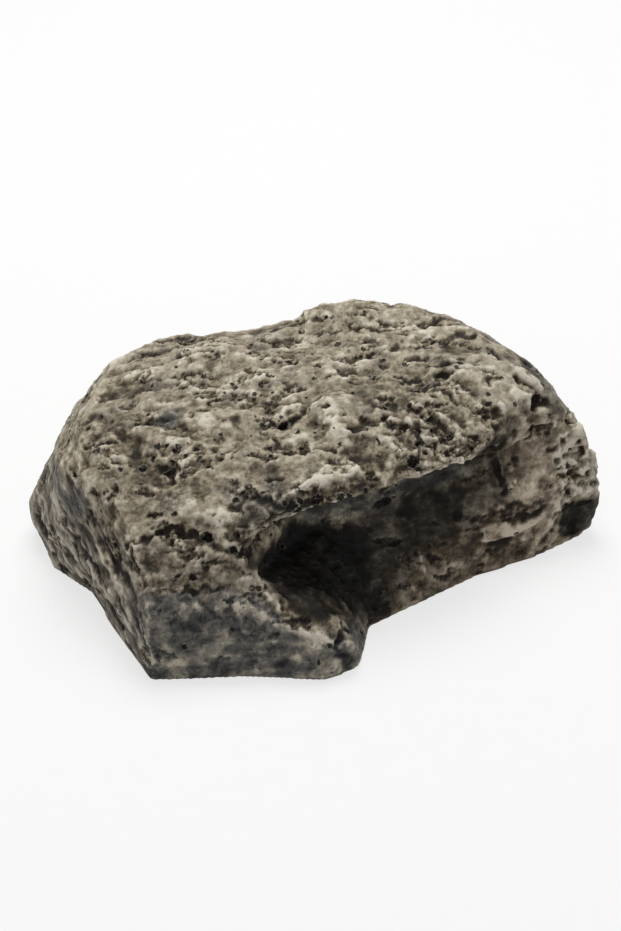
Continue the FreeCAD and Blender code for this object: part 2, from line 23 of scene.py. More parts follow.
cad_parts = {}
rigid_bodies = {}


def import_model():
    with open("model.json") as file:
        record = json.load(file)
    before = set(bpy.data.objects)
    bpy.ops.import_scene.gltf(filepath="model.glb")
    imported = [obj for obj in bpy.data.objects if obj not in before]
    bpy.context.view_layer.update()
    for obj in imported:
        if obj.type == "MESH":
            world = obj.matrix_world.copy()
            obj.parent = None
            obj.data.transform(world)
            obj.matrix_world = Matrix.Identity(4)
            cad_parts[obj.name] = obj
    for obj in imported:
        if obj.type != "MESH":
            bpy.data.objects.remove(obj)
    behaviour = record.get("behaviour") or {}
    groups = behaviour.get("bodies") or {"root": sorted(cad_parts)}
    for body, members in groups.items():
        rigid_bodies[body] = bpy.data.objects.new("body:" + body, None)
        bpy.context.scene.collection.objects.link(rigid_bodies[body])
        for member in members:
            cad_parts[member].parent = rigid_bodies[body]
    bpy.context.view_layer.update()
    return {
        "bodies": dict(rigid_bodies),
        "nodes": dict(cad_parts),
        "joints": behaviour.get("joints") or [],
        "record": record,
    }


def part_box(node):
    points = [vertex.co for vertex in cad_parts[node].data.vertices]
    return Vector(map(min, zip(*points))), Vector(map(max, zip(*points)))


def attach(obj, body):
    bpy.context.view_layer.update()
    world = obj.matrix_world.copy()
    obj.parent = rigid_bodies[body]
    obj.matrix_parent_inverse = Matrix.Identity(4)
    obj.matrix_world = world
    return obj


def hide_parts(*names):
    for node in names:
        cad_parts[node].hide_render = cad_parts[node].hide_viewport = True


MM = 0.001
HAIR = 0.01 * MM
SAME_PLACE = 1e-6
TINY = 1e-9
FAR = 200.0
PER_SQUARE_METRE = 10000
WHITE = (1.0, 1.0, 1.0, 1.0)
LOG = logging.getLogger("key_rock")

Color = tuple[int, int, int]
Linear = tuple[float, float, float, float]
Stops = tuple[tuple[float, Color], ...]
Span = tuple[float, float]
Place = tuple[float, float]
Point = tuple[float, float, float]
Socket = bpy.types.NodeSocket
Value = Socket | float | tuple


def linear(red: int, green: int, blue: int) -> Linear:
    """Turn an sRGB colour of 0 to 255 into a linear one with alpha.

    Args:
        red: The red channel.
        green: The green channel.
        blue: The blue channel.

    Returns:
        The linear colour, opaque.
    """
    def channel(level: int) -> float:
        """Undo the sRGB curve on one channel."""
        share = level / 255
        return share / 12.92 if share <= 0.04045 else ((share + 0.055) / 1.055) ** 2.4

    return channel(red), channel(green), channel(blue), 1.0


def shade(color: Linear, factor: float, lift: float = 0.0) -> Linear:
    """Return a linear colour times a factor and lifted, but never past white."""
    return tuple(min(1.0, level * factor + lift) for level in color[:3]) + (1.0,)


def add_object(name: str, data: bpy.types.ID) -> bpy.types.Object:
    """Put an object in the scene.

    Args:
        name: The object's name.
        data: Its mesh, lamp or camera.

    Returns:
        The new object, at the origin.
    """
    made = bpy.data.objects.new(name, data)
    bpy.context.scene.collection.objects.link(made)
    return made


def mesh_from(bm: bmesh.types.BMesh, name: str) -> bpy.types.Mesh:
    """Turn an edited mesh into a new mesh of the file, and free it.

    Args:
        bm: The edited mesh.
        name: The new mesh's name.

    Returns:
        The new mesh.
    """
    mesh = bpy.data.meshes.new(name)
    bm.to_mesh(mesh)
    bm.free()
    return mesh


# ------------------------------------------------------------------ node trees


@dataclass(frozen=True)
class Grain:
    """A pattern of noise: the size of its largest features in mm, and how it breaks up."""

    cell: float
    detail: float = 3.0
    roughness: float = 0.5
    distortion: float = 0.0


class Nodes:
    """A node tree with short calls to add, set and link its nodes."""

    def __init__(self, tree: bpy.types.NodeTree) -> None:
        """Take the tree to build in, a material's, a world's or a modifier's."""
        self.tree = tree

    def add(self, kind: str, inputs: dict | None = None, **settings: object) -> bpy.types.Node:
        """Add a node.

        Args:
            kind: The node's class name.
            inputs: Values or output sockets, by the name or number of the input.
            settings: Properties of the node itself.

        Returns:
            The new node.
        """
        node = self.tree.nodes.new(kind)
        for name, value in settings.items():
            setattr(node, name, value)
        for name, value in (inputs or {}).items():
            self.feed(node.inputs[name], value)
        return node

    def feed(self, socket: Socket, value: Value) -> None:
        """Link an output to an input, or set the input's own value.

        Args:
            socket: The input.
            value: The output to link, or the plain value to set.
        """
        if isinstance(value, Socket):
            self.tree.links.new(value, socket)
        else:
            socket.default_value = value

    def math(self, operation: str, first: Value, second: Value = 0.0, clamp: bool = False) -> Socket:
        """Add a Math node and return its output."""
        inputs = {0: first, 1: second}
        return self.add("ShaderNodeMath", inputs, operation=operation, use_clamp=clamp).outputs[0]

    def swing(self, value: Value, amount: Value) -> Socket:
        """Return how far a value lies from the middle of 0 to 1, times an amount."""
        return self.math("MULTIPLY", self.math("SUBTRACT", value, 0.5), amount)

    def vector(self, operation: str, first: Value, second: Value) -> Socket:
        """Add a Vector Math node and return its vector output."""
        return self.add("ShaderNodeVectorMath", {0: first, 1: second}, operation=operation).outputs[0]

    def distance(self, first: Value, second: Value) -> Socket:
        """Return the distance between two places."""
        inputs = {0: first, 1: second}
        return self.add("ShaderNodeVectorMath", inputs, operation="DISTANCE").outputs["Value"]

    def scaled(self, vector: Value, factor: Value) -> Socket:
        """Return a vector times a factor."""
        inputs = {0: vector, "Scale": factor}
        return self.add("ShaderNodeVectorMath", inputs, operation="SCALE").outputs[0]

    def remap(self, value: Value, low: float, high: float, to_low: float = 0.0,
              to_high: float = 1.0) -> Socket:
        """Move a value smoothly from one range to another, and hold it inside it.

        Args:
            value: The value.
            low: Where the first range begins.
            high: Where it ends, which may be below its beginning.
            to_low: What low becomes.
            to_high: What high becomes.

        Returns:
            The new value.
        """
        inputs = {"Value": value, "From Min": low, "From Max": high,
                  "To Min": to_low, "To Max": to_high}
        return self.add("ShaderNodeMapRange", inputs, interpolation_type="SMOOTHSTEP").outputs[0]

    def mix(self, factor: Value, first: Value, second: Value) -> Socket:
        """Mix two colours and return the colour output."""
        inputs = {0: factor, 6: first, 7: second}
        return self.add("ShaderNodeMix", inputs, data_type="RGBA", clamp_factor=True).outputs[2]

    def ramp(self, factor: Socket, stops: Stops) -> Socket:
        """Run through colours along a factor.

        Args:
            factor: The factor, 0 to 1.
            stops: Where each colour stands along the factor, and the colour.

        Returns:
            The colour output.
        """
        node = self.add("ShaderNodeValToRGB", {0: factor})
        elements = node.color_ramp.elements
        while len(elements) < len(stops):
            elements.new(1.0)
        for element, (place, color) in zip(elements, stops):
            element.position = place
            element.color = linear(*color)
        return node.outputs[0]

    def place(self) -> Socket:
        """Return the place on the object."""
        return self.add("ShaderNodeTexCoord").outputs["Object"]

    def noise(self, place: Socket, grain: Grain) -> Socket:
        """Make noise of 0 to 1.

        Args:
            place: The place on the object.
            grain: The noise's cell and how it breaks up.

        Returns:
            The noise.
        """
        inputs = {"Vector": place, "Scale": 1 / (grain.cell * MM), "Detail": grain.detail,
                  "Roughness": grain.roughness, "Distortion": grain.distortion}
        return self.add("ShaderNodeTexNoise", inputs).outputs[0]

    def attribute(self, name: str, output: str = "Fac") -> Socket:
        """Return a stored attribute's value in a material."""
        return self.add("ShaderNodeAttribute", attribute_name=name).outputs[output]

    def bump(self, shader: bpy.types.Node, height: Socket, depth: float) -> None:
        """Give a shader a bump which is so many mm high where the height is 1."""
        bump = self.add("ShaderNodeBump", {"Height": height, "Distance": depth * MM})
        self.feed(shader.inputs["Normal"], bump.outputs[0])

    def named(self, name: str) -> Socket:
        """Return a stored number in a geometry tree."""
        return self.add("GeometryNodeInputNamedAttribute", {"Name": name}, data_type="FLOAT").outputs[0]

    def store(self, skin: Socket, name: str, value: Socket, kind: str, domain: str) -> Socket:
        """Store a value under a name in a geometry tree.

        Args:
            skin: The geometry to store it on.
            name: The attribute's name.
            value: The value.
            kind: Its data type.
            domain: What holds it, such as POINT or FACE.

        Returns:
            The geometry with the attribute.
        """
        inputs = {"Geometry": skin, "Name": name, "Value": value}
        settings = {"data_type": kind, "domain": domain}
        return self.add("GeometryNodeStoreNamedAttribute", inputs, **settings).outputs[0]

    def sample(self, points: Socket, value: Socket, index: Socket, kind: str) -> Socket:
        """Return a value read from a geometry's points by their index."""
        inputs = {"Geometry": points, "Value": value, "Index": index}
        return self.add("GeometryNodeSampleIndex", inputs, data_type=kind, domain="POINT").outputs[0]


def new_material(name: str) -> tuple[bpy.types.Material, Nodes, bpy.types.Node]:
    """Make a material with an empty tree but for its shader and output.

    Args:
        name: The material's name.

    Returns:
        The material, its nodes and its Principled shader.
    """
    material = bpy.data.materials.new(name)
    material.use_nodes = True
    material.node_tree.nodes.clear()
    nodes = Nodes(material.node_tree)
    shader = nodes.add("ShaderNodeBsdfPrincipled")
    nodes.add("ShaderNodeOutputMaterial", {"Surface": shader.outputs[0]})
    return material, nodes, shader


# ------------------------------------------------------------------ finishes


@dataclass(frozen=True)
class Moulding:
    """A moulded plastic with a spark-eroded texture and faint handling marks."""

    name: str
    color: Color
    roughness: float = 0.5
    eroded: Grain = Grain(0.35, 2.0)
    erosion_depth: float = 0.02
    rubbing: Grain = Grain(6.0, 4.0, 0.6)
    rubbed: Span = (0.4, 0.8)
    rubbed_factor: float = 1.7
    rubbed_lift: float = 0.004
    gloss: Span = (0.3, 0.7)
    smoother: float = 0.08
    rougher: float = 0.12

    def material(self) -> bpy.types.Material:
        """Build the plastic's material.

        Returns:
            The material.
        """
        material, nodes, shader = new_material(self.name)
        place = nodes.place()
        rubbing = nodes.noise(place, self.rubbing)
        dark = linear(*self.color)
        pale = shade(dark, self.rubbed_factor, self.rubbed_lift)
        nodes.feed(shader.inputs["Base Color"], nodes.mix(nodes.remap(rubbing, *self.rubbed), dark, pale))
        low, high = self.roughness - self.smoother, self.roughness + self.rougher
        nodes.feed(shader.inputs["Roughness"], nodes.remap(rubbing, *self.gloss, low, high))
        nodes.bump(shader, nodes.noise(place, self.eroded), self.erosion_depth)
        return material


@dataclass(frozen=True)
class Foam:
    """A fine closed-cell foam."""

    name: str
    color: Color
    cell: float = 0.5
    cell_depth: float = 0.1
    cell_wall: Span = (0.1, 0.7)
    roughness: float = 0.95
    pale_factor: float = 2.2
    pale_lift: float = 0.01

    def material(self) -> bpy.types.Material:
        """Build the foam's material.

        Returns:
            The material.
        """
        material, nodes, shader = new_material(self.name)
        cells = nodes.add("ShaderNodeTexVoronoi", {"Vector": nodes.place(), "Scale": 1 / (self.cell * MM)})
        depth = nodes.remap(cells.outputs["Distance"], *self.cell_wall)
        # The cells' hollows are painted darker than their raised walls: painted shade.
        dark = linear(*self.color)
        pale = shade(dark, self.pale_factor, self.pale_lift)
        nodes.feed(shader.inputs["Base Color"], nodes.mix(depth, dark, pale))
        shader.inputs["Roughness"].default_value = self.roughness
        nodes.bump(shader, depth, self.cell_depth)
        return material


@dataclass(frozen=True)
class Epoxy:
    """A cured amber bead of adhesive."""

    name: str = "cured_epoxy"
    color: Color = (176, 156, 112)
    clouds: Grain = Grain(3.0)
    cloud_depth: float = 0.2
    deep_factor: float = 0.6
    roughness: float = 0.3

    def material(self) -> bpy.types.Material:
        """Build the adhesive's material.

        Returns:
            The material.
        """
        material, nodes, shader = new_material(self.name)
        clouds = nodes.noise(nodes.place(), self.clouds)
        amber = linear(*self.color)
        deep = shade(amber, self.deep_factor)
        nodes.feed(shader.inputs["Base Color"], nodes.mix(clouds, deep, amber))
        shader.inputs["Roughness"].default_value = self.roughness
        nodes.bump(shader, clouds, self.cloud_depth)
        return material


@dataclass(frozen=True)
class RawResin:
    """The casting's own resin and stone powder, where no paint covers it."""

    name: str = "raw_resin"
    color: Color = (126, 121, 113)
    clouds: Grain = Grain(5.0, 4.0, 0.6)
    powder: Grain = Grain(0.4, 3.0, 0.7)
    powder_depth: float = 0.08
    cloudy: Span = (0.35, 0.7)
    powdery: Span = (0.55, 0.75)
    dark_factor: float = 0.6
    pale_factor: float = 1.35
    roughness: float = 0.8

    def material(self) -> bpy.types.Material:
        """Build the resin's material.

        Returns:
            The material.
        """
        material, nodes, shader = new_material(self.name)
        place = nodes.place()
        clouds, powder = nodes.noise(place, self.clouds), nodes.noise(place, self.powder)
        grey = linear(*self.color)
        dark, pale = shade(grey, self.dark_factor), shade(grey, self.pale_factor)
        body = nodes.mix(nodes.remap(clouds, *self.cloudy), dark, grey)
        speckled = nodes.mix(nodes.remap(powder, *self.powdery), body, pale)
        nodes.feed(shader.inputs["Base Color"], speckled)
        shader.inputs["Roughness"].default_value = self.roughness
        nodes.bump(shader, powder, self.powder_depth)
        return material


@dataclass(frozen=True)
class PaintedStone:
    """The casting's paint: a cream dry-brush over a dark wash, which follows the relief.

    The paints are colours along the tone. The layers say how strongly each grain varies the tone,
    and the tints how strongly, at most, each paint shows up by itself in patches. A span says
    where a pattern starts to show and where it shows in full. Holes and rims are given in radii
    from a hole's centre, and the smallest holes in cells.
    """

    name: str = "painted_stone"
    cream: Stops = ((0.05, (36, 30, 23)), (0.25, (76, 67, 53)), (0.40, (116, 106, 88)),
                    (0.50, (142, 131, 112)), (0.60, (163, 153, 133)), (0.75, (192, 182, 162)),
                    (0.92, (222, 214, 198)))
    slate: Stops = ((0.05, (24, 23, 23)), (0.30, (52, 51, 50)), (0.48, (80, 79, 76)),
                    (0.62, (108, 104, 97)), (0.78, (146, 139, 126)), (0.95, (190, 181, 165)))
    umber: Stops = ((0.05, (26, 20, 15)), (0.30, (62, 52, 43)), (0.50, (106, 93, 80)),
                    (0.65, (144, 129, 113)), (0.80, (180, 165, 146)), (0.95, (208, 195, 177)))
    # The hollows' colours: a dark wash made near black with painted shade.
    soot: Stops = ((0.15, (4, 3, 2)), (0.45, (14, 12, 10)), (0.65, (40, 36, 32)),
                   (0.90, (92, 85, 76)))
    rim_color: Color = (200, 193, 178)
    hole_color: Color = (20, 17, 14)
    crumbs: Grain = Grain(0.9, 5.0, 0.62)
    layers: tuple[tuple[Grain, float], ...] = (
        (Grain(3.6, 6.0, 0.66, 0.5), 0.5), (Grain(1.4, 5.0, 0.68, 0.4), 0.42),
        (crumbs, 0.32), (Grain(0.4, 2.0, 0.6), 0.12))
    tints: tuple[tuple[str, Grain, float], ...] = (
        ("umber", Grain(4.0, 3.0, 0.6, 0.5), 0.55), ("slate", Grain(5.0, 3.0, 0.6, 0.5), 0.45),
        ("soot", Grain(3.0, 3.0, 0.6, 0.5), 0.0))
    tinted: Span = (0.5, 0.72)
    washed: Span = (0.2, 1.0)
    washed_strength: float = 1.35
    clusters: Grain = Grain(6.0, 2.0)
    veins: Grain = Grain(2.6, 4.0, 0.6, 0.6)
    vein_width: float = 0.022
    vein_depth: float = 0.22
    veined: Span = (0.4, 0.62)
    pepper: Grain = Grain(0.55, 3.0, 0.6)
    pepper_depth: float = 0.24
    peppered: Span = (0.52, 0.64)
    pepper_outside_pocks: float = 0.35
    gloss: Grain = Grain(2.0)
    glossy: Span = (0.3, 0.7)
    dry_roughness: Span = (0.44, 0.64)
    slate_roughness: Span = (0.32, 0.46)
    specular: float = 0.12
    bend_cell: float = 0.8
    ragged: Grain = Grain(0.5, 3.0, 0.6)
    raggedness: float = 1.6
    hole_bend: float = 1.1
    hole_edge: Span = (1.15, 0.6)
    hole_paint: float = 0.92
    hole_depth: float = 0.5
    rim_outside: Span = (1.6, 1.2)
    rim_inside: Span = (0.9, 1.15)
    rimmed_sizes: Span = (0.3 * MM, 0.55 * MM)
    rim_paint: float = 0.3
    rim_height: float = 0.07
    dot_cell: float = 1.1
    dot_bend: float = 0.35
    dotted: Span = (0.42, 0.62)
    dot_chance: Span = (0.3, 1.0)
    dot_radius: float = 0.26
    dot_pores: Span = (0.0, 0.6)
    dot_least: float = 0.25
    dot_edge: Span = (-0.05, 0.04)
    dot_depth: float = 0.2
    crumb_height: float = 0.3
    crumb_heights: Span = (0.8, 1.1)

    def material(self) -> bpy.types.Material:
        """Build the paint's material.

        Returns:
            The material.
        """
        material, nodes, shader = new_material(self.name)
        place = nodes.place()
        tone = self.tone(nodes, place)
        color = nodes.ramp(tone, self.cream)
        # The tints lie over the cream; the darkest is the hollows' dark wash with painted shade.
        for layer, patches, most in self.tints:
            tint = nodes.remap(nodes.noise(place, patches), *self.tinted, 0.0, most)
            share = nodes.math("MAXIMUM", nodes.attribute(layer), tint)
            color = nodes.mix(share, color, nodes.ramp(tone, getattr(self, layer)))
        hole, rim = self.hole(nodes, place)
        dots = self.dots(nodes, place)
        color = nodes.mix(nodes.math("MULTIPLY", rim, self.rim_paint), color, linear(*self.rim_color))
        dark = nodes.math("MULTIPLY", nodes.math("MAXIMUM", hole, dots), self.hole_paint)
        color = nodes.mix(dark, color, linear(*self.hole_color))
        nodes.feed(shader.inputs["Base Color"], color)
        nodes.feed(shader.inputs["Roughness"], self.roughness(nodes, place))
        shader.inputs["Specular IOR Level"].default_value = self.specular
        nodes.bump(shader, self.height(nodes, place, hole, rim, dots), 1.0)
        return material

    def tone(self, nodes: Nodes, place: Socket) -> Socket:
        """Add fine mottling, flecks, pepper in the pocks and thin dark veins to the skin's tone.

        Args:
            nodes: The material's nodes.
            place: The place on the object.

        Returns:
            The tone, about 0 to 1.
        """
        washed = nodes.math("MAXIMUM", nodes.attribute("slate"), nodes.attribute("umber"))
        strength = nodes.remap(washed, *self.washed, 1.0, self.washed_strength)
        tone = nodes.attribute("tone")
        for grain, weight in self.layers:
            share = nodes.swing(nodes.noise(place, grain), weight)
            tone = nodes.math("ADD", tone, nodes.math("MULTIPLY", share, strength))
        line = nodes.math("ABSOLUTE", nodes.math("SUBTRACT", nodes.noise(place, self.veins), 0.5))
        gather = nodes.remap(nodes.noise(place, self.clusters), *self.veined)
        vein = nodes.remap(line, 0.0, self.vein_width, self.vein_depth, 0.0)
        pepper = nodes.remap(nodes.noise(place, self.pepper), *self.peppered, 0.0, self.pepper_depth)
        least = self.pepper_outside_pocks
        inside = nodes.math("ADD", nodes.math("MULTIPLY", nodes.attribute("pock"), 1 - least), least)
        tone = nodes.math("SUBTRACT", tone, nodes.math("MULTIPLY", pepper, inside))
        return nodes.math("SUBTRACT", tone, nodes.math("MULTIPLY", vein, gather))

    def roughness(self, nodes: Nodes, place: Socket) -> Socket:
        """Make the slate paint satin and the rest of the paint drier.

        Args:
            nodes: The material's nodes.
            place: The place on the object.

        Returns:
            The roughness.
        """
        gloss = nodes.noise(place, self.gloss)
        dry = nodes.remap(gloss, *self.glossy, *self.dry_roughness)
        satin = nodes.remap(gloss, *self.glossy, *self.slate_roughness)
        share = nodes.attribute("slate")
        rest = nodes.math("SUBTRACT", 1.0, share)
        return nodes.math("ADD", nodes.math("MULTIPLY", share, satin), nodes.math("MULTIPLY", rest, dry))

    def bend(self, nodes: Nodes, place: Socket) -> Socket:
        """Return a colour which changes from place to place, to bend the holes' edges by."""
        inputs = {"Vector": place, "Scale": 1 / (self.bend_cell * MM)}
        return nodes.add("ShaderNodeTexNoise", inputs).outputs["Color"]

    def hole(self, nodes: Nodes, place: Socket) -> tuple[Socket, Socket]:
        """Mark the nearest gas hole and its rim.

        Args:
            nodes: The material's nodes.
            place: The place on the object.

        Returns:
            The mask of the hole and the mask of its rim.
        """
        centre = nodes.attribute("hole_place", "Vector")
        size = nodes.attribute("hole_size")
        push = nodes.vector("SUBTRACT", self.bend(nodes, place), (0.5, 0.5, 0.5))
        bent = nodes.vector("ADD", place, nodes.scaled(push, self.hole_bend * MM))
        gap = nodes.distance(bent, centre)
        ragged = nodes.swing(nodes.noise(place, self.ragged), self.raggedness)
        reach = nodes.math("DIVIDE", gap, nodes.math("MAXIMUM", size, HAIR))
        reach = nodes.math("ADD", reach, ragged)
        rim = nodes.remap(reach, *self.rim_outside)
        for part in (nodes.remap(reach, *self.rim_inside), nodes.remap(size, *self.rimmed_sizes)):
            rim = nodes.math("MULTIPLY", rim, part)
        return nodes.remap(reach, *self.hole_edge), rim

    def dots(self, nodes: Nodes, place: Socket) -> Socket:
        """Mark the smallest gas holes, which gather in clusters.

        Args:
            nodes: The material's nodes.
            place: The place on the object.

        Returns:
            The mask of the holes.
        """
        bent = nodes.vector("ADD", place, nodes.scaled(self.bend(nodes, place), self.dot_bend * MM))
        cells = nodes.add("ShaderNodeTexVoronoi", {"Vector": bent, "Scale": 1 / (self.dot_cell * MM)})
        chance = nodes.add("ShaderNodeSeparateColor", {0: cells.outputs["Color"]}).outputs[0]
        radius = nodes.math("MULTIPLY", nodes.remap(nodes.noise(place, self.clusters), *self.dotted),
                            nodes.remap(chance, *self.dot_chance, 0.0, self.dot_radius))
        share = nodes.remap(nodes.attribute("pores"), *self.dot_pores, self.dot_least, 1.0)
        edge = nodes.math("SUBTRACT", nodes.math("MULTIPLY", radius, share), cells.outputs["Distance"])
        return nodes.remap(edge, *self.dot_edge)

    def height(self, nodes: Nodes, place: Socket, hole: Socket, rim: Socket, dots: Socket) -> Socket:
        """Raise the fine grain and the rims, and sink the holes.

        Args:
            nodes: The material's nodes.
            place: The place on the object.
            hole: The mask of the larger holes.
            rim: The mask of their rims.
            dots: The mask of the smallest holes.

        Returns:
            The height in mm.
        """
        height = nodes.math("MULTIPLY", nodes.noise(place, self.crumbs), self.crumb_height)
        share = nodes.remap(nodes.attribute("pock"), 0.0, 1.0, *self.crumb_heights)
        height = nodes.math("MULTIPLY", height, share)
        for part, amount in ((hole, -self.hole_depth), (dots, -self.dot_depth), (rim, self.rim_height)):
            height = nodes.math("ADD", height, nodes.math("MULTIPLY", part, amount))
        return height


# ------------------------------------------------------------------ the casting


class Face(Enum):
    """The side that a mark is laid from: its two axes, and the way in from outside."""

    TOP = ((0, 1), (0, 0, -1))
    FRONT = ((0, 2), (0, 1, 0))
    LEFT = ((1, 2), (1, 0, 0))

    @property
    def axes(self) -> tuple[int, int]:
        """The two axes that a mark's places are given on."""
        return self.value[0]

    @property
    def inward(self) -> np.ndarray:
        """The direction from outside towards the rock."""
        return np.array(self.value[1], float)


class Perlin:
    """Gradient noise over many points at once, always the same for one seed."""

    lattice = 256
    octave_shift = 17.3
    octave_range = 0.27

    def __init__(self, seed: int) -> None:
        """Shuffle the lattice.

        Args:
            seed: Any whole number.
        """
        source = np.random.default_rng(seed)
        self.order = source.permutation(self.lattice)
        slopes = source.normal(size=(self.lattice, 3))
        self.slopes = slopes / np.linalg.norm(slopes, axis=1)[:, None]

    def single(self, places: np.ndarray) -> np.ndarray:
        """Work out one octave of noise.

        Args:
            places: One row of coordinates for each point, in cells.

        Returns:
            One value for each point.
        """
        cell = np.floor(places).astype(int)
        inside = places - cell
        ease = inside ** 3 * (inside * (inside * 6 - 15) + 10)
        total = np.zeros(len(places))
        for corner in np.ndindex(2, 2, 2):
            step = np.array(corner)
            index = np.zeros(len(places), int)
            for along in (cell + step).T:
                index = self.order[(index + along) % self.lattice]
            weight = np.prod(np.where(step == 1, ease, 1 - ease), axis=1)
            total += weight * (self.slopes[index] * (inside - step)).sum(1)
        return total

    def fractal(self, places: np.ndarray, octaves: int, gain: float = 0.5) -> np.ndarray:
        """Return several octaves of noise, scaled so that they vary by about 1.

        Args:
            places: One row of coordinates for each point, in cells.
            octaves: How many layers, each half the size of the one before.
            gain: How strong each layer is beside the one before.

        Returns:
            One value for each point.
        """
        total = np.zeros(len(places))
        power = 0.0
        for octave in range(octaves):
            strength = gain ** octave
            total += strength * self.single(places * 2 ** octave + self.octave_shift * octave)
            power += strength ** 2
        return total / (self.octave_range * math.sqrt(power))


def smooth_step(values: np.ndarray, low: float, high: float) -> np.ndarray:
    """Return 0 below low, 1 above high, and a smooth rise between."""
    share = np.clip((values - low) / (high - low), 0, 1)
    return share * share * (3 - 2 * share)


def left_share(normals: np.ndarray, begins: float = 0.45, full: float = 0.7) -> np.ndarray:
    """Return how far each point belongs to the left side, 0 to 1, by where it faces."""
    return smooth_step(-normals[:, 0], begins, full)


def path_distance(points: np.ndarray, path: np.ndarray) -> np.ndarray:
    """Measure each point's distance to a path of straight runs.

    Args:
        points: One row of coordinates for each point.
        path: One row for each of the path's places, of which there may be only one.

    Returns:
        One distance for each point.
    """
    nearest = np.full(len(points), np.inf)
    starts = path[:-1] if len(path) > 1 else path
    ends = path[1:] if len(path) > 1 else path
    for start, end in zip(starts, ends):
        along = end - start
        share = np.clip((points - start) @ along / max(along @ along, TINY), 0, 1)
        nearest = np.minimum(nearest, np.linalg.norm(points - start - share[:, None] * along, axis=1))
    return nearest


@dataclass(frozen=True)
class Stroke:
    """One listed ridge, cut or dab of paint.

    The path is in mm on the two axes of the face that it is laid from. A negative height cuts
    in, and a negative tone darkens.
    """

    face: Face
    path: tuple[Place, ...]
    width: float
    height: float
    tone: float


@dataclass(frozen=True)
class Area:
    """A part of the skin with its own roughness and paint, outlined on one face's two axes.

    The depth bounds it on the third axis, and soft is how far its edge fades, both in mm. Facing
    says how far the skin turns to the face where the area starts, and where it shows in full.
    """

    face: Face
    corners: tuple[Place, ...]
    soft: float
    crumbs: float
    tone: float
    slate: float = 0.0
    umber: float = 0.0
    # How far the hollows' dark wash and painted shade cover the area.
    soot: float = 0.0
    depth: Span = (-FAR, FAR)
    facing: Span = (-0.05, 0.3)

    def mask(self, points: np.ndarray, normals: np.ndarray) -> np.ndarray:
        """Work out how far each point belongs to the area.

        Args:
            points: One row of coordinates for each point, in mm.
            normals: The skin's direction at each point.

        Returns:
            A share of 0 to 1 for each point.
        """
        first, second = self.face.axes
        flat = points[:, [first, second]]
        third = points[:, 3 - first - second]
        outline = np.array(self.corners + self.corners[:1], float)
        inside = np.zeros(len(flat), bool)
        for (ax, ay), (bx, by) in zip(outline[:-1], outline[1:]):
            crosses = (ay > flat[:, 1]) != (by > flat[:, 1])
            share = (flat[:, 1] - ay) / (by - ay if by != ay else TINY)
            inside ^= crosses & (flat[:, 0] < ax + share * (bx - ax))
        gap = path_distance(flat, outline) * np.where(inside, 1, -1)
        shown = smooth_step(-normals @ self.face.inward, *self.facing)
        low, high = self.depth
        shown *= smooth_step(third, low - 1, low + 1) * smooth_step(-third, -high - 1, -high + 1)
        return smooth_step(gap, -self.soft, self.soft) * shown


@dataclass
class Skin:
    """The vertices of the casting's skin, with the sums that work on them, in mm."""

    mesh: bpy.types.Mesh
    points: np.ndarray = field(init=False)
    normals: np.ndarray = field(init=False)
    edges: np.ndarray = field(init=False)
    degree: np.ndarray = field(init=False)
    held: np.ndarray = field(init=False)
    ground_fade: Span = (0.1, 1.2)
    ground_share: float = 0.15
    usual_ranges: float = 3.0

    def __post_init__(self) -> None:
        """Read the mesh."""
        count = len(self.mesh.vertices)
        flat = np.empty(count * 3)
        self.mesh.vertices.foreach_get("co", flat)
        self.points = flat.reshape(-1, 3) / MM
        pairs = np.empty(len(self.mesh.edges) * 2, np.int64)
        self.mesh.edges.foreach_get("vertices", pairs)
        self.edges = pairs.reshape(-1, 2)
        self.degree = np.bincount(pairs, minlength=count)
        self.held = np.zeros(count, bool)
        self.find_normals()

    def find_normals(self) -> None:
        """Write the points back and read the new normals."""
        self.mesh.vertices.foreach_set("co", (self.points * MM).ravel())
        self.mesh.update()
        flat = np.empty(len(self.points) * 3)
        self.mesh.vertices.foreach_get("normal", flat)
        self.normals = flat.reshape(-1, 3)

    def blurred(self, values: np.ndarray, rounds: int) -> np.ndarray:
        """Average each vertex's value with its neighbours'.

        Args:
            values: One value, or one row of them, for each vertex.
            rounds: How often to do it.

        Returns:
            The averages, in the same shape.
        """
        first, second = self.edges.T
        columns = values.reshape(len(self.points), -1)
        for _ in range(rounds):
            sums = [
                np.bincount(first, column[second], len(column))
                + np.bincount(second, column[first], len(column))
                for column in columns.T]
            columns = (columns + np.stack(sums, 1)) / (1 + self.degree)[:, None]
        return columns.reshape(values.shape)

    def raise_by(self, lift: np.ndarray) -> None:
        """Move each point that isn't held along its normal, and less so near the ground.

        Args:
            lift: How far to move each point outwards, in mm.
        """
        rise = smooth_step(self.points[:, 2], *self.ground_fade)
        fade = rise * (1 - self.ground_share) + self.ground_share
        lift = np.where(self.held, 0, lift * fade)
        self.points = self.points + self.normals * lift[:, None]
        self.points[:, 2] = np.maximum(self.points[:, 2], 0)
        self.find_normals()

    def even_rim(self, full: float, none: float, rounds: int) -> None:
        """Even out the steps of the foot's outline.

        Args:
            full: The height in mm up to which to do it in full.
            none: The height in mm from which to leave the skin alone.
            rounds: How often to average the points.
        """
        even = self.blurred(self.points[:, :2], rounds)
        share = smooth_step(-self.points[:, 2], -none, -full)[:, None]
        self.points[:, :2] += (even - self.points[:, :2]) * share
        self.find_normals()

    def proud(self, rounds: int) -> np.ndarray:
        """Return how far each point stands above its surroundings, in its own usual range."""
        height = ((self.points - self.blurred(self.points, rounds)) * self.normals).sum(1)
        return np.clip(height / (height.std() + TINY), -self.usual_ranges, self.usual_ranges)

    def store(self, name: str, values: np.ndarray) -> None:
        """Store a value on each vertex."""
        attribute = self.mesh.attributes.new(name, "FLOAT", "POINT")
        attribute.data.foreach_set("value", values.astype(np.float32))

    def tree(self) -> BVHTree:
        """Return a search tree of the skin's faces, in mm."""
        faces = [tuple(face.vertices) for face in self.mesh.polygons]
        return BVHTree.FromPolygons([tuple(point) for point in self.points], faces)


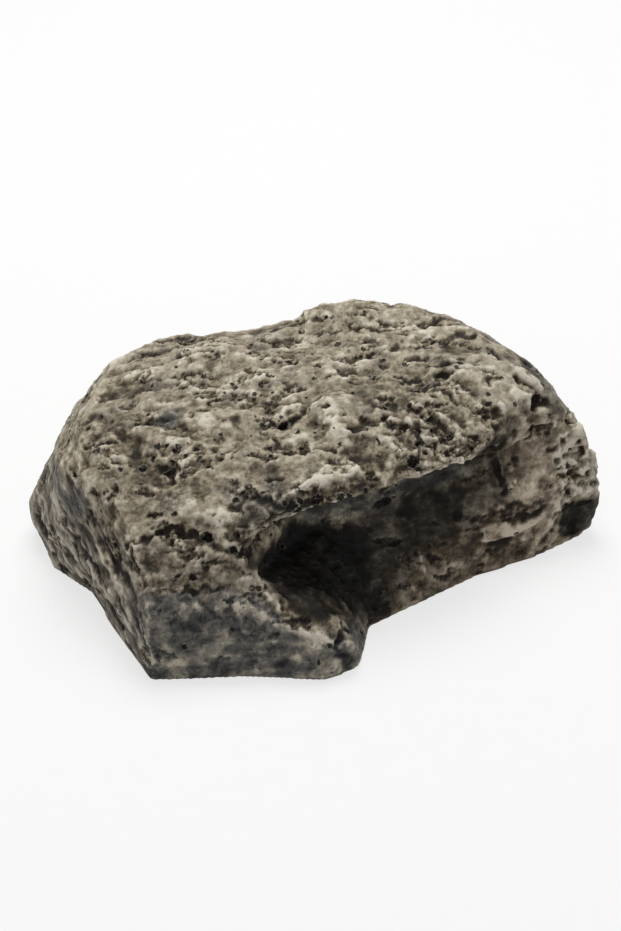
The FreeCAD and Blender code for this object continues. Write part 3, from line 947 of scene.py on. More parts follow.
@dataclass(frozen=True)
class Relief:
    """A layer of noise over the skin, with its cell and its height in mm."""

    seed: int
    cell: float
    height: float
    octaves: int = 2
    gain: float = 0.5

    def over(self, points: np.ndarray) -> np.ndarray:
        """Return the noise at each point."""
        return Perlin(self.seed).fractal(points / self.cell, self.octaves, self.gain) * self.height

    def bent(self, points: np.ndarray) -> np.ndarray:
        """Return the points pushed about by the noise, each axis with a seed of its own."""
        push = [Perlin(self.seed + axis).fractal(points / self.cell, self.octaves) for axis in range(3)]
        return points + np.stack(push, 1) * self.height


@dataclass(frozen=True)
class Bedding:
    """Noise drawn out along the bedding, which runs another way on the left side.

    A cell is as long in mm as length says along the bedding, and as wide as width across it.
    """

    seed: int
    length: float
    width: float
    octaves: int
    gain: float
    run: Point = (0.92, -0.39, 0.0)
    left_run: Point = (0.0, -0.91, -0.41)

    def over(self, skin: Skin) -> np.ndarray:
        """Work the noise out over the skin.

        Args:
            skin: The skin.

        Returns:
            One value for each point, which varies by about 1.
        """
        share = left_share(skin.normals)
        here, on_left = self.drawn(skin.points, self.run), self.drawn(skin.points, self.left_run)
        return here * (1 - share) + on_left * share

    def drawn(self, points: np.ndarray, run: Point) -> np.ndarray:
        """Draw the noise's cells out along one direction.

        Args:
            points: One row of coordinates for each point, in mm.
            run: The direction.

        Returns:
            One value for each point.
        """
        axis = np.array(run)
        along = (points @ axis)[:, None] * axis
        cells = (points - along) / self.width + along / self.length
        return Perlin(self.seed).fractal(cells, self.octaves, self.gain)


def landed(face: Face, path: tuple[Place, ...], tree: BVHTree) -> np.ndarray:
    """Find where a path meets the skin, seen from its face.

    Args:
        face: The side that it is laid from.
        path: Its places on the face's two axes, in mm.
        tree: The skin's search tree.

    Returns:
        One row of coordinates for each place that meets the skin.
    """
    found = []
    first, second = face.axes
    for place in path:
        start = -face.inward * FAR
        start[first], start[second] = place
        hit = tree.ray_cast(Vector(start), Vector(face.inward))[0]
        if hit is not None:
            found.append(tuple(hit))
        else:
            LOG.warning("a mark misses the rock at %s", place)
    return np.array(found)


def add_block(bm: bmesh.types.BMesh, low: Vector, high: Vector) -> None:
    """Add a closed block to a mesh.

    Args:
        bm: The mesh.
        low: The block's lowest corner.
        high: The block's highest corner.
    """
    made = bmesh.ops.create_cube(bm, size=1.0)
    size, middle = high - low, (high + low) / 2
    bmesh.ops.transform(
        bm, verts=made["verts"], matrix=Matrix.Translation(middle) @ Matrix.Diagonal((*size, 1)))


def applied(piece: bpy.types.Object) -> bpy.types.Object:
    """Apply an object's modifiers and return it.

    Args:
        piece: The object, which keeps its name.

    Returns:
        The same object with a plain mesh.
    """
    graph = bpy.context.evaluated_depsgraph_get()
    mesh = bpy.data.meshes.new_from_object(piece.evaluated_get(graph))
    piece.modifiers.clear()
    piece.data = mesh
    return piece


@dataclass
class Casting:
    """The cast rock: the construction's form with its weathered skin and its cut-outs.

    The heights of the plates and the crumbs are those on whole stone, and what a pock adds. The
    proud tones say how much paler a point gets by standing out, over so many rounds of its
    neighbours, and varied how much more each paint lets the tone vary.
    """

    node: str = "rock_shell"
    voxel: float = 0.36
    fill_margin: float = 0.3
    fit: float = 0.3
    slot_fit: float = 0.4
    wall_and_pad_margin: float = 2.0
    facet_rounds: int = 10
    underside_height: float = 0.25
    underside_slope: float = -0.9
    resin_height: float = 0.02
    rim_heights: Span = (0.3, 1.0)
    rim_rounds: int = 6
    area_bend: Relief = Relief(41, 3.5, 0.55, 3)
    stroke_bend: Relief = Relief(61, 1.8, 0.3)
    stroke_reach: float = 2.5
    lumps: Relief = Relief(51, 9, 0.12)
    knobs: Relief = Relief(52, 3.2, 0.16)
    knobs_where_smooth: float = 0.4
    plates: Bedding = Bedding(53, 4.5, 1.6, 3, 0.55)
    plate_steps: float = 1.3
    plate_edge: Span = (0.7, 1.0)
    plate_tilt: float = 0.55
    plate_heights: Span = (0.12, 0.14)
    crumbs: Relief = Relief(54, 1.5, 1.0, 2, 0.6)
    crumb_heights: Span = (0.07, 0.08)
    pocks: Bedding = Bedding(55, 6.5, 3.2, 4, 0.62)
    pock_edge: Span = (0.45, 0.95)
    pocks_where_crumbly: float = 0.55
    pock_depth: float = 0.3
    base_tone: float = 0.57
    pock_tone: float = -0.13
    proud_tones: tuple[tuple[int, float], ...] = ((2, 0.05), (9, 0.06), (45, 0.02))
    mottle: Relief = Relief(71, 6, 0.04)
    stains: Relief = Relief(74, 2.4, 0.065, 3, 0.65)
    streaks: Bedding = Bedding(72, 4.5, 1.0, 3, 0.6)
    streak_tone: float = 0.05
    left_streak_tone: float = 0.11
    varied: tuple[tuple[str, float], ...] = (("slate", 0.2), ("umber", 0.3), ("soot", 1.0))
    pores_outside_pocks: float = 0.1
    pores_lost_on_paint: float = 0.85
    lowest_pore: float = 0.5

    def build(self, frame: dict, paint: bpy.types.Material,
              resin: bpy.types.Material) -> bpy.types.Object:
        """Make the casting.

        Args:
            paint: The material of its painted skin.
            resin: The material of its unpainted underside and cut-outs.

        Returns:
            The finished object.
        """
        blank = self.filled_blank(frame["nodes"][self.node])
        skin = Skin(blank.data)
        low = skin.points[:, 2] < self.underside_height
        skin.held = low & (skin.normals[:, 2] < self.underside_slope)
        self.round_facets(skin)
        zones = self.lay_areas(skin)
        marks = self.carve(skin)
        pocks = self.weather(skin, zones["crumbs"])
        skin.even_rim(*self.rim_heights, self.rim_rounds)
        self.record_paint(skin, zones, marks, pocks)
        self.join_underside(blank)
        GasHoles().open(blank, paint)
        self.cut_out(blank, resin)
        for face in blank.data.polygons:
            face.use_smooth = True
            if face.center.z < self.resin_height * MM:
                face.material_index = blank.data.materials.find(resin.name)
        return blank

    def cutters(self, grow: float) -> list[tuple[Vector, Vector]]:
        """Return the corners of the recess, the pocket and the slot, in metres.

        Args:
            grow: How far to push each block's top and sides out, in mm.

        Returns:
            Pairs of lowest and highest corners.
        """
        tub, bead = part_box("key_tub"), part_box("tub_adhesive")
        pad, cover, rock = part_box("key_pad"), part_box("slide_cover"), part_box(self.node)
        fit, slot = (self.fit + grow) * MM, (self.slot_fit + grow) * MM
        walls = (self.wall_and_pad_margin + self.fit + grow) * MM
        right = rock[1].x + (self.fit if grow == 0 else -self.fit) * MM
        return [
            (Vector((tub[0].x - fit, tub[0].y - fit, 0)),
             Vector((tub[1].x + fit, tub[1].y + fit, bead[1].z + grow * MM))),
            (Vector((pad[0].x - walls, pad[0].y - walls, 0)),
             Vector((pad[1].x + walls, pad[1].y + walls, tub[1].z + fit))),
            (Vector((tub[1].x, cover[0].y - slot, 0)),
             Vector((right, cover[1].y + slot, cover[1].z + slot))),
        ]

    def filled_blank(self, node: bpy.types.Object) -> bpy.types.Object:
        """Fill the cut-outs of the construction's form, and give it an even fine mesh.

        Args:
            node: The construction's rock.

        Returns:
            The casting's object, with the plain form.
        """
        bm = bmesh.new()
        bm.from_mesh(node.data)
        bmesh.ops.remove_doubles(bm, verts=bm.verts, dist=SAME_PLACE)
        recess, pocket, slot = self.cutters(self.fill_margin)
        add_block(bm, *recess)
        add_block(bm, *pocket)
        self.fill_slot(bm, node, *slot)
        blank = add_object("cast_rock", mesh_from(bm, "cast_rock"))
        remesh = blank.modifiers.new("even", "REMESH")
        remesh.mode = "VOXEL"
        remesh.voxel_size = self.voxel * MM
        return applied(blank)

    def fill_slot(self, bm: bmesh.types.BMesh, node: bpy.types.Object, low: Vector,
                  high: Vector) -> None:
        """Fill the slot out to the rock's own side.

        Args:
            bm: The mesh to add the filling to.
            node: The construction's rock.
            low: The slot's lowest corner with its margin.
            high: The slot's highest corner with its margin.
        """
        margin = self.fill_margin * MM
        top = high.z - margin
        side = sorted(
            (vert.co.y, vert.co.x) for vert in node.data.vertices
            if abs(vert.co.z - top) < HAIR and vert.co.x > low.x + 2 * margin)
        first, last = side[0], side[-1]
        outline = [(low.x, low.y), (first[1] - MM, low.y), *((x, y) for y, x in side),
                   (last[1] - MM, high.y), (low.x, high.y)]
        floor = [bm.verts.new((x, y, 0)) for x, y in outline]
        face = bm.faces.new(reversed(floor))
        raised = bmesh.ops.extrude_face_region(bm, geom=[face], use_keep_orig=True)["geom"]
        verts = [item for item in raised if isinstance(item, bmesh.types.BMVert)]
        bmesh.ops.translate(bm, verts=verts, vec=(0, 0, high.z))

    def round_facets(self, skin: Skin) -> None:
        """Round the straight facets of the construction's form.

        Args:
            skin: The skin.
        """
        skin.points[skin.held, 2] = 0
        rounded = skin.blurred(skin.points, self.facet_rounds)
        skin.points = np.where(skin.held[:, None], skin.points, rounded)
        skin.find_normals()

    def lay_areas(self, skin: Skin) -> dict[str, np.ndarray]:
        """Lay the areas over each other, with their edges bent.

        Args:
            skin: The skin.

        Returns:
            The roughness and the paint's values at each point, by their names.
        """
        places = self.area_bend.bent(skin.points)
        zones = {name: np.zeros(len(places)) for name in ("tone", "slate", "umber", "soot")}
        zones["crumbs"] = np.ones(len(places))
        for area in AREAS:
            mask = area.mask(places, skin.normals)
            for name, values in zones.items():
                values += mask * (getattr(area, name) - values)
        return zones

    def weather(self, skin: Skin, crumbs: np.ndarray) -> np.ndarray:
        """Add lumps, plates with broken edges, pocks and crumbs.

        Args:
            skin: The skin.
            crumbs: How crumbly the stone is at each point, 1 as on the upper face.

        Returns:
            How far each point lies in a pock, 0 to 1.
        """
        least = self.knobs_where_smooth
        knobs = self.knobs.over(skin.points) * (least + (1 - least) * crumbs)
        skin.raise_by(self.lumps.over(skin.points) + knobs)
        broken = self.pocks.over(skin) + self.pocks_where_crumbly * (crumbs - 1)
        pocks = smooth_step(broken, *self.pock_edge)
        level = self.plates.over(skin) * self.plate_steps
        step = np.floor(level) + smooth_step(level - np.floor(level), *self.plate_edge)
        whole, more = self.plate_heights
        plates = (step - level * self.plate_tilt) * (whole + more * pocks)
        whole, more = self.crumb_heights
        grain = self.crumbs.over(skin.points) * (whole + more * pocks)
        skin.raise_by((plates + grain) * crumbs - self.pock_depth * pocks)
        return pocks

    def carve(self, skin: Skin) -> np.ndarray:
        """Add the listed ridges and cuts.

        Args:
            skin: The skin.

        Returns:
            The tone that the strokes give each point.
        """
        tree = skin.tree()
        places = self.stroke_bend.bent(skin.points)
        lift = np.zeros(len(places))
        tone = np.zeros(len(places))
        for stroke in STROKES:
            path = landed(stroke.face, stroke.path, tree)
            reach = stroke.width * self.stroke_reach
            near = np.all((places > path.min(0) - reach) & (places < path.max(0) + reach), axis=1)
            touch = np.exp(-(path_distance(places[near], path) / stroke.width) ** 3)
            lift[near] += stroke.height * touch
            tone[near] += stroke.tone * touch
        skin.raise_by(lift)
        return tone

    def record_paint(self, skin: Skin, zones: dict[str, np.ndarray], marks: np.ndarray,
                     pocks: np.ndarray) -> None:
        """Store the paint's tone, the share of each colour and where small holes gather.

        Args:
            skin: The skin.
            zones: The areas' values at each point.
            marks: The strokes' tone at each point.
            pocks: How far each point lies in a pock.
        """
        mottle, stains = self.mottle.over(skin.points), self.stains.over(skin.points)
        streaks = self.streaks.over(skin)
        on_left = self.left_streak_tone * streaks * left_share(skin.normals)
        vary = np.ones(len(pocks))
        painted = np.zeros(len(pocks))
        for name, more in self.varied:
            vary += more * zones[name]
            painted += zones[name]
            skin.store(name, zones[name])
        tone = self.base_tone + zones["tone"] + marks + on_left
        tone += (mottle + stains + self.streak_tone * streaks) * vary
        raised = sum(weight * skin.proud(rounds) for rounds, weight in self.proud_tones)
        tone += raised + self.pock_tone * pocks
        least = self.pores_outside_pocks
        pores = (least + (1 - least) * pocks) * (1 - self.pores_lost_on_paint * np.clip(painted, 0, 1))
        pores *= skin.points[:, 2] > self.lowest_pore
        for name, values in (("tone", tone), ("pock", pocks), ("pores", pores)):
            skin.store(name, values)

    def join_underside(self, blank: bpy.types.Object) -> None:
        """Make one flat face of the many underneath.

        Args:
            blank: The casting.
        """
        bm = bmesh.new()
        bm.from_mesh(blank.data)
        flat = {face for face in bm.faces if all(vert.co.z < SAME_PLACE for vert in face.verts)}
        inner = [vert for vert in {vert for face in flat for vert in face.verts}
                 if all(face in flat for face in vert.link_faces)]
        bmesh.ops.delete(bm, geom=inner, context="VERTS")
        rim = [edge for edge in bm.edges if edge.is_boundary]
        made = bmesh.ops.holes_fill(bm, edges=rim, sides=0)["faces"]
        bmesh.ops.recalc_face_normals(bm, faces=bm.faces)
        LOG.info("underside: %d faces over %d rim edges", len(made), len(rim))
        bm.to_mesh(blank.data)
        bm.free()

    def cut_out(self, blank: bpy.types.Object, resin: bpy.types.Material) -> None:
        """Cut the recess, the pocket and the slot.

        Args:
            blank: The casting.
            resin: The material that the cut faces show.
        """
        for low, high in self.cutters(0.0):
            bm = bmesh.new()
            add_block(bm, low - Vector((0, 0, MM)), high)
            tool = add_object("cutter", mesh_from(bm, "cutter"))
            tool.data.materials.append(resin)
            cut = blank.modifiers.new("cut_out", "BOOLEAN")
            cut.object = tool
            cut.operation = "DIFFERENCE"
            cut.solver = "EXACT"
            cut.material_mode = "TRANSFER"
            applied(blank)
            bpy.data.objects.remove(tool)


@dataclass
class GasHoles:
    """Burst gas bubbles of the casting: some listed one by one, the rest scattered in clusters.

    The more small_ones is over 1, the more of the scattered holes are small. The depth is a share
    of the radius, and the bowl's edge and floor are given in radii.
    """

    per_square_cm: float = 50.0
    smallest: float = 0.10
    largest: float = 0.45
    small_ones: float = 2.5
    spacing: float = 0.7
    depth: float = 0.8
    bowl: Span = (1.15, 0.2)
    seed: int = 5

    def open(self, rock: bpy.types.Object, paint: bpy.types.Material) -> None:
        """Open the holes in the rock's skin.

        Args:
            rock: The rock, whose skin has the attribute pores.
            paint: The skin's material.
        """
        laid = self.laid_holes(rock)
        holes = rock.modifiers.new("gas_holes", "NODES")
        holes.node_group = self.tree()
        values = {
            "Laid Holes": laid, "Density": self.per_square_cm * PER_SQUARE_METRE,
            "Smallest": self.smallest * MM, "Largest": self.largest * MM,
            "Spacing": self.spacing * MM, "Depth": self.depth, "Seed": self.seed, "Paint": paint,
        }
        for item in holes.node_group.interface.items_tree:
            if item.item_type == "SOCKET" and item.name in values:
                holes[item.identifier] = values[item.name]
        applied(rock)
        bpy.data.objects.remove(laid)

    def laid_holes(self, rock: bpy.types.Object) -> bpy.types.Object:
        """Put loose points on the skin at the listed holes.

        Args:
            rock: The rock.

        Returns:
            An object of the points, each with its hole's size.
        """
        tree = Skin(rock.data).tree()
        places, sizes = [], []
        for face, holes in HOLES.items():
            for first, second, size in holes:
                path = landed(face, ((first, second),), tree)
                if len(path):
                    places.append(tuple(path[0] * MM))
                    sizes.append(size * MM)
        mesh = bpy.data.meshes.new("laid_holes")
        mesh.from_pydata(places, [], [])
        mesh.attributes.new("size", "FLOAT", "POINT").data.foreach_set("value", sizes)
        return add_object("laid_holes", mesh)

    def tree(self) -> bpy.types.NodeTree:
        """Build the node tree that scatters the holes and sinks them.

        Returns:
            The node tree.
        """
        tree = bpy.data.node_groups.new("gas_holes", "GeometryNodeTree")
        sockets = tree.interface
        sockets.new_socket("Geometry", in_out="INPUT", socket_type="NodeSocketGeometry")
        sockets.new_socket("Laid Holes", in_out="INPUT", socket_type="NodeSocketObject")
        for name in ("Density", "Smallest", "Largest", "Spacing", "Depth"):
            sockets.new_socket(name, in_out="INPUT", socket_type="NodeSocketFloat")
        sockets.new_socket("Seed", in_out="INPUT", socket_type="NodeSocketInt")
        sockets.new_socket("Paint", in_out="INPUT", socket_type="NodeSocketMaterial")
        sockets.new_socket("Geometry", in_out="OUTPUT", socket_type="NodeSocketGeometry")
        nodes = Nodes(tree)
        given = nodes.add("NodeGroupInput").outputs
        holes = self.holes(nodes, given)
        sunk = self.sunk(nodes, given, holes)
        real = nodes.add("GeometryNodeRealizeInstances", {0: sunk})
        painted = nodes.add("GeometryNodeSetMaterial", {
            "Geometry": real.outputs[0], "Material": given["Paint"]})
        nodes.add("NodeGroupOutput", {"Geometry": painted.outputs[0]})
        return tree

    def holes(self, nodes: Nodes, given: bpy.types.bpy_prop_collection) -> Socket:
        """Scatter small holes among those laid by hand.

        Args:
            nodes: The tree's nodes.
            given: The tree's inputs.

        Returns:
            A point for each hole, with its size.
        """
        scatter = nodes.add("GeometryNodeDistributePointsOnFaces", {
            "Mesh": given["Geometry"], "Distance Min": given["Spacing"], "Density Max": given["Density"],
            "Density Factor": nodes.named("pores"), "Seed": given["Seed"]}, distribute_method="POISSON")
        chance = nodes.add("FunctionNodeRandomValue", {"Seed": given["Seed"]}, data_type="FLOAT")
        power = nodes.math("POWER", chance.outputs[1], self.small_ones)
        span = nodes.math("SUBTRACT", given["Largest"], given["Smallest"])
        size = nodes.math("ADD", given["Smallest"], nodes.math("MULTIPLY", power, span))
        sized = nodes.store(scatter.outputs["Points"], "size", size, "FLOAT", "POINT")
        laid = nodes.add("GeometryNodeObjectInfo", {"Object": given["Laid Holes"]})
        points = nodes.add("GeometryNodeMeshToPoints", {"Mesh": laid.outputs["Geometry"]})
        joined = nodes.add("GeometryNodeJoinGeometry", {0: sized})
        nodes.tree.links.new(points.outputs[0], joined.inputs[0])
        return joined.outputs[0]

    def sunk(self, nodes: Nodes, given: bpy.types.bpy_prop_collection, holes: Socket) -> Socket:
        """Sink the skin into bowls at the holes, and store the nearest hole on each face.

        Args:
            nodes: The tree's nodes.
            given: The tree's inputs.
            holes: The holes' points.

        Returns:
            The skin.
        """
        nearest = nodes.add("GeometryNodeSampleNearest", {"Geometry": holes}, domain="POINT").outputs[0]
        where = nodes.add("GeometryNodeInputPosition").outputs[0]
        centre = nodes.sample(holes, where, nearest, "FLOAT_VECTOR")
        radius = nodes.sample(holes, nodes.named("size"), nearest, "FLOAT")
        skin = nodes.store(given["Geometry"], "hole_place", centre, "FLOAT_VECTOR", "FACE")
        skin = nodes.store(skin, "hole_size", radius, "FLOAT", "FACE")
        gap = nodes.distance(where, centre)
        bowl = nodes.remap(nodes.math("DIVIDE", gap, nodes.math("MAXIMUM", radius, HAIR)), *self.bowl)
        sink = nodes.math("MULTIPLY", nodes.math("MULTIPLY", bowl, radius),
                          nodes.math("MULTIPLY", given["Depth"], -1.0))
        normal = nodes.add("GeometryNodeInputNormal").outputs[0]
        inputs = {"Geometry": skin, "Offset": nodes.scaled(normal, sink)}
        return nodes.add("GeometryNodeSetPosition", inputs).outputs[0]


def laid(face: Face, rows: tuple[tuple, ...]) -> list[Stroke]:
    """Return a face's strokes, from rows of width, height and tone, and then the path's places."""
    return [Stroke(face, tuple(path), width, height, tone) for width, height, tone, *path in rows]


def brushed(face: Face, height: float, rows: tuple[tuple, ...]) -> list[Stroke]:
    """Return a face's strokes of one height, from rows of width and tone, and then the places."""
    return [Stroke(face, tuple(path), width, height, tone) for width, tone, *path in rows]


def dabbed(face: Face, width: float, height: float, tone: float, places: tuple[Place, ...]) -> list[Stroke]:
    """Return equal dabs at a face's places."""
    return [Stroke(face, (place,), width, height, tone) for place in places]


TOP, FRONT, LEFT = Face.TOP, Face.FRONT, Face.LEFT

# The skin's roughness and paint, area by area. Later ones lie over earlier ones.
AREAS: list[Area] = [
    # The left side, below the edge of the upper face.
    Area(LEFT, ((30, -2), (30, 16), (20, 17), (12, 18.5), (5, 20), (0, 19), (-6, 17), (-10, 15.5),
                (-15, 13), (-17, 10), (-17, -2)), 1.0, 0.7, -0.03, slate=0.6),
    Area(LEFT, ((14, 14), (12, 18.5), (5, 20), (0, 19), (-6, 17), (-10, 15.5), (-9, 12), (0, 15)),
         1.0, 0.45, -0.14, slate=0.9),
    # The upper face: a greyer left shoulder, and the open cream slope on the right.
    Area(TOP, ((-38, 18), (-20, 22), (-19, 8), (-22, -8), (-36, -8)), 3.0, 1.0, -0.05),
    Area(TOP, ((21, 4), (30, 2), (31, -9), (22, -9.5), (20, -4)), 1.5, 0.6, 0.09),
    Area(TOP, ((8, -4), (20, -5), (22, -10), (20, -16), (6, -17), (4, -12)), 1.5, 1.5, -0.05),
    Area(TOP, ((31, 1), (37, -4), (40, -12), (34, -12), (31.5, -6)), 1.0, 0.8, -0.12, slate=0.6),
    Area(TOP, ((21, 15), (26, 8.4), (29.4, 3), (32, 0), (34.4, -4.6), (36.4, -8), (44, -8), (44, 12),
               (30, 20)), 1.4, 1.0, -0.1, slate=0.6, depth=(15, 99)),
    Area(TOP, ((-23.8, 6.8), (-20.3, 7.2), (-19.8, 5), (-21.5, 4.2), (-23.8, 4.9)), 0.7, 0.6, 0.02,
         slate=0.8),
    # The crumbled band between the upper face and the smooth foot.
    Area(FRONT, ((-37, 12), (-33.5, 17), (-30, 18), (-26.5, 18.6), (-22, 18), (-17, 19.5), (-14, 18),
                 (-17, 14), (-19, 12), (-30, 11)), 1.0, 1.2, -0.06, slate=0.25, umber=0.2, depth=(-40, -8)),
    Area(FRONT, ((-20, 23), (-12, 23.6), (-10.5, 21), (-14, 18), (-18, 17.5), (-19.6, 20)), 0.8, 1.4,
         -0.07, slate=0.55, depth=(-40, -8)),
    # The smooth slate foot.
    Area(FRONT, ((-38, -2), (-37, 11), (-33, 13), (-30, 12.5), (-27, 11.5), (-22, 12), (-19, 11.3),
                 (-17, 9.5), (-14, 7), (-12, 6), (-5, 7), (-3, -2)), 0.8, 0.35, -0.03, slate=1.0,
         depth=(-40, -12)),
    # Beneath the lip, and the hollow.
    Area(FRONT, ((-14, 16), (-8, 19.3), (5, 15.2), (22, 19.3), (20, 13), (5, 11), (-8, 14)), 1.0, 0.3,
         -0.23, slate=0.9, depth=(-20, 5)),
    # The brown top of the lobe, and the hollow: a dark wash with painted shade over it.
    Area(TOP, ((-15, -18), (-13.8, -24.4), (-10.5, -25.2), (-6.4, -24), (-5.2, -20), (-7, -17.5)), 0.8,
         0.6, -0.22, soot=0.85, depth=(2, 11)),
    Area(FRONT, ((-19, 14), (-14, 17.5), (-7, 14), (0, 11.5), (8, 13), (19, 14), (21, 8), (14, 6),
                 (8, 4), (0, 1), (-8, 2), (-14, 8)), 1.2, 0.7, 0.0, soot=0.9, depth=(-22, 5)),
    Area(FRONT, ((-16, 14), (-6, 13), (3, 9), (0, 2), (-8, 3), (-14, 8)), 1.5, 0.7, -0.28, soot=1.0,
         depth=(-20, 5)),
    # The crumbled edge at the hollow's upper left.
    Area(FRONT, ((-17.5, 17), (-13, 18.3), (-10.8, 15.6), (-13.2, 13.2), (-17, 14)), 0.8, 1.2, -0.14,
         umber=0.2, soot=0.0, depth=(-22, -5)),
    # The slot beside the buttress, dark with its wash and painted shade, the buttress and the foot in front
    # of the hollow.
    Area(FRONT, ((19, 21), (27, 22), (25, 13), (22, 9), (18, 12)), 1.2, 0.8, -0.05, soot=0.7),
    Area(FRONT, ((19, 8.5), (24, 11), (26, 18), (33, 18), (34, 6), (31, 1.5), (24, 2.5), (19, 4)),
         1.2, 0.5, -0.05, umber=0.9),
    Area(FRONT, ((9, 6), (20, 7), (24, 4), (31, 2), (30, -2), (5, -2), (6, 2)), 1.0, 0.6, -0.14,
         umber=0.6, depth=(-20, 5)),
    # The knobbly strip on the right, and the notch at its foot, dark with its wash and painted shade.
    Area(FRONT, ((32.5, 21), (39, 21), (42, 12), (42, 7), (33.5, 9)), 1.0, 1.6, 0.05, slate=0.1),
    Area(FRONT, ((33, 7.5), (42, 8), (42, 2.5), (35, 1), (33, 3)), 0.6, 0.5, -0.2, soot=0.85),
]

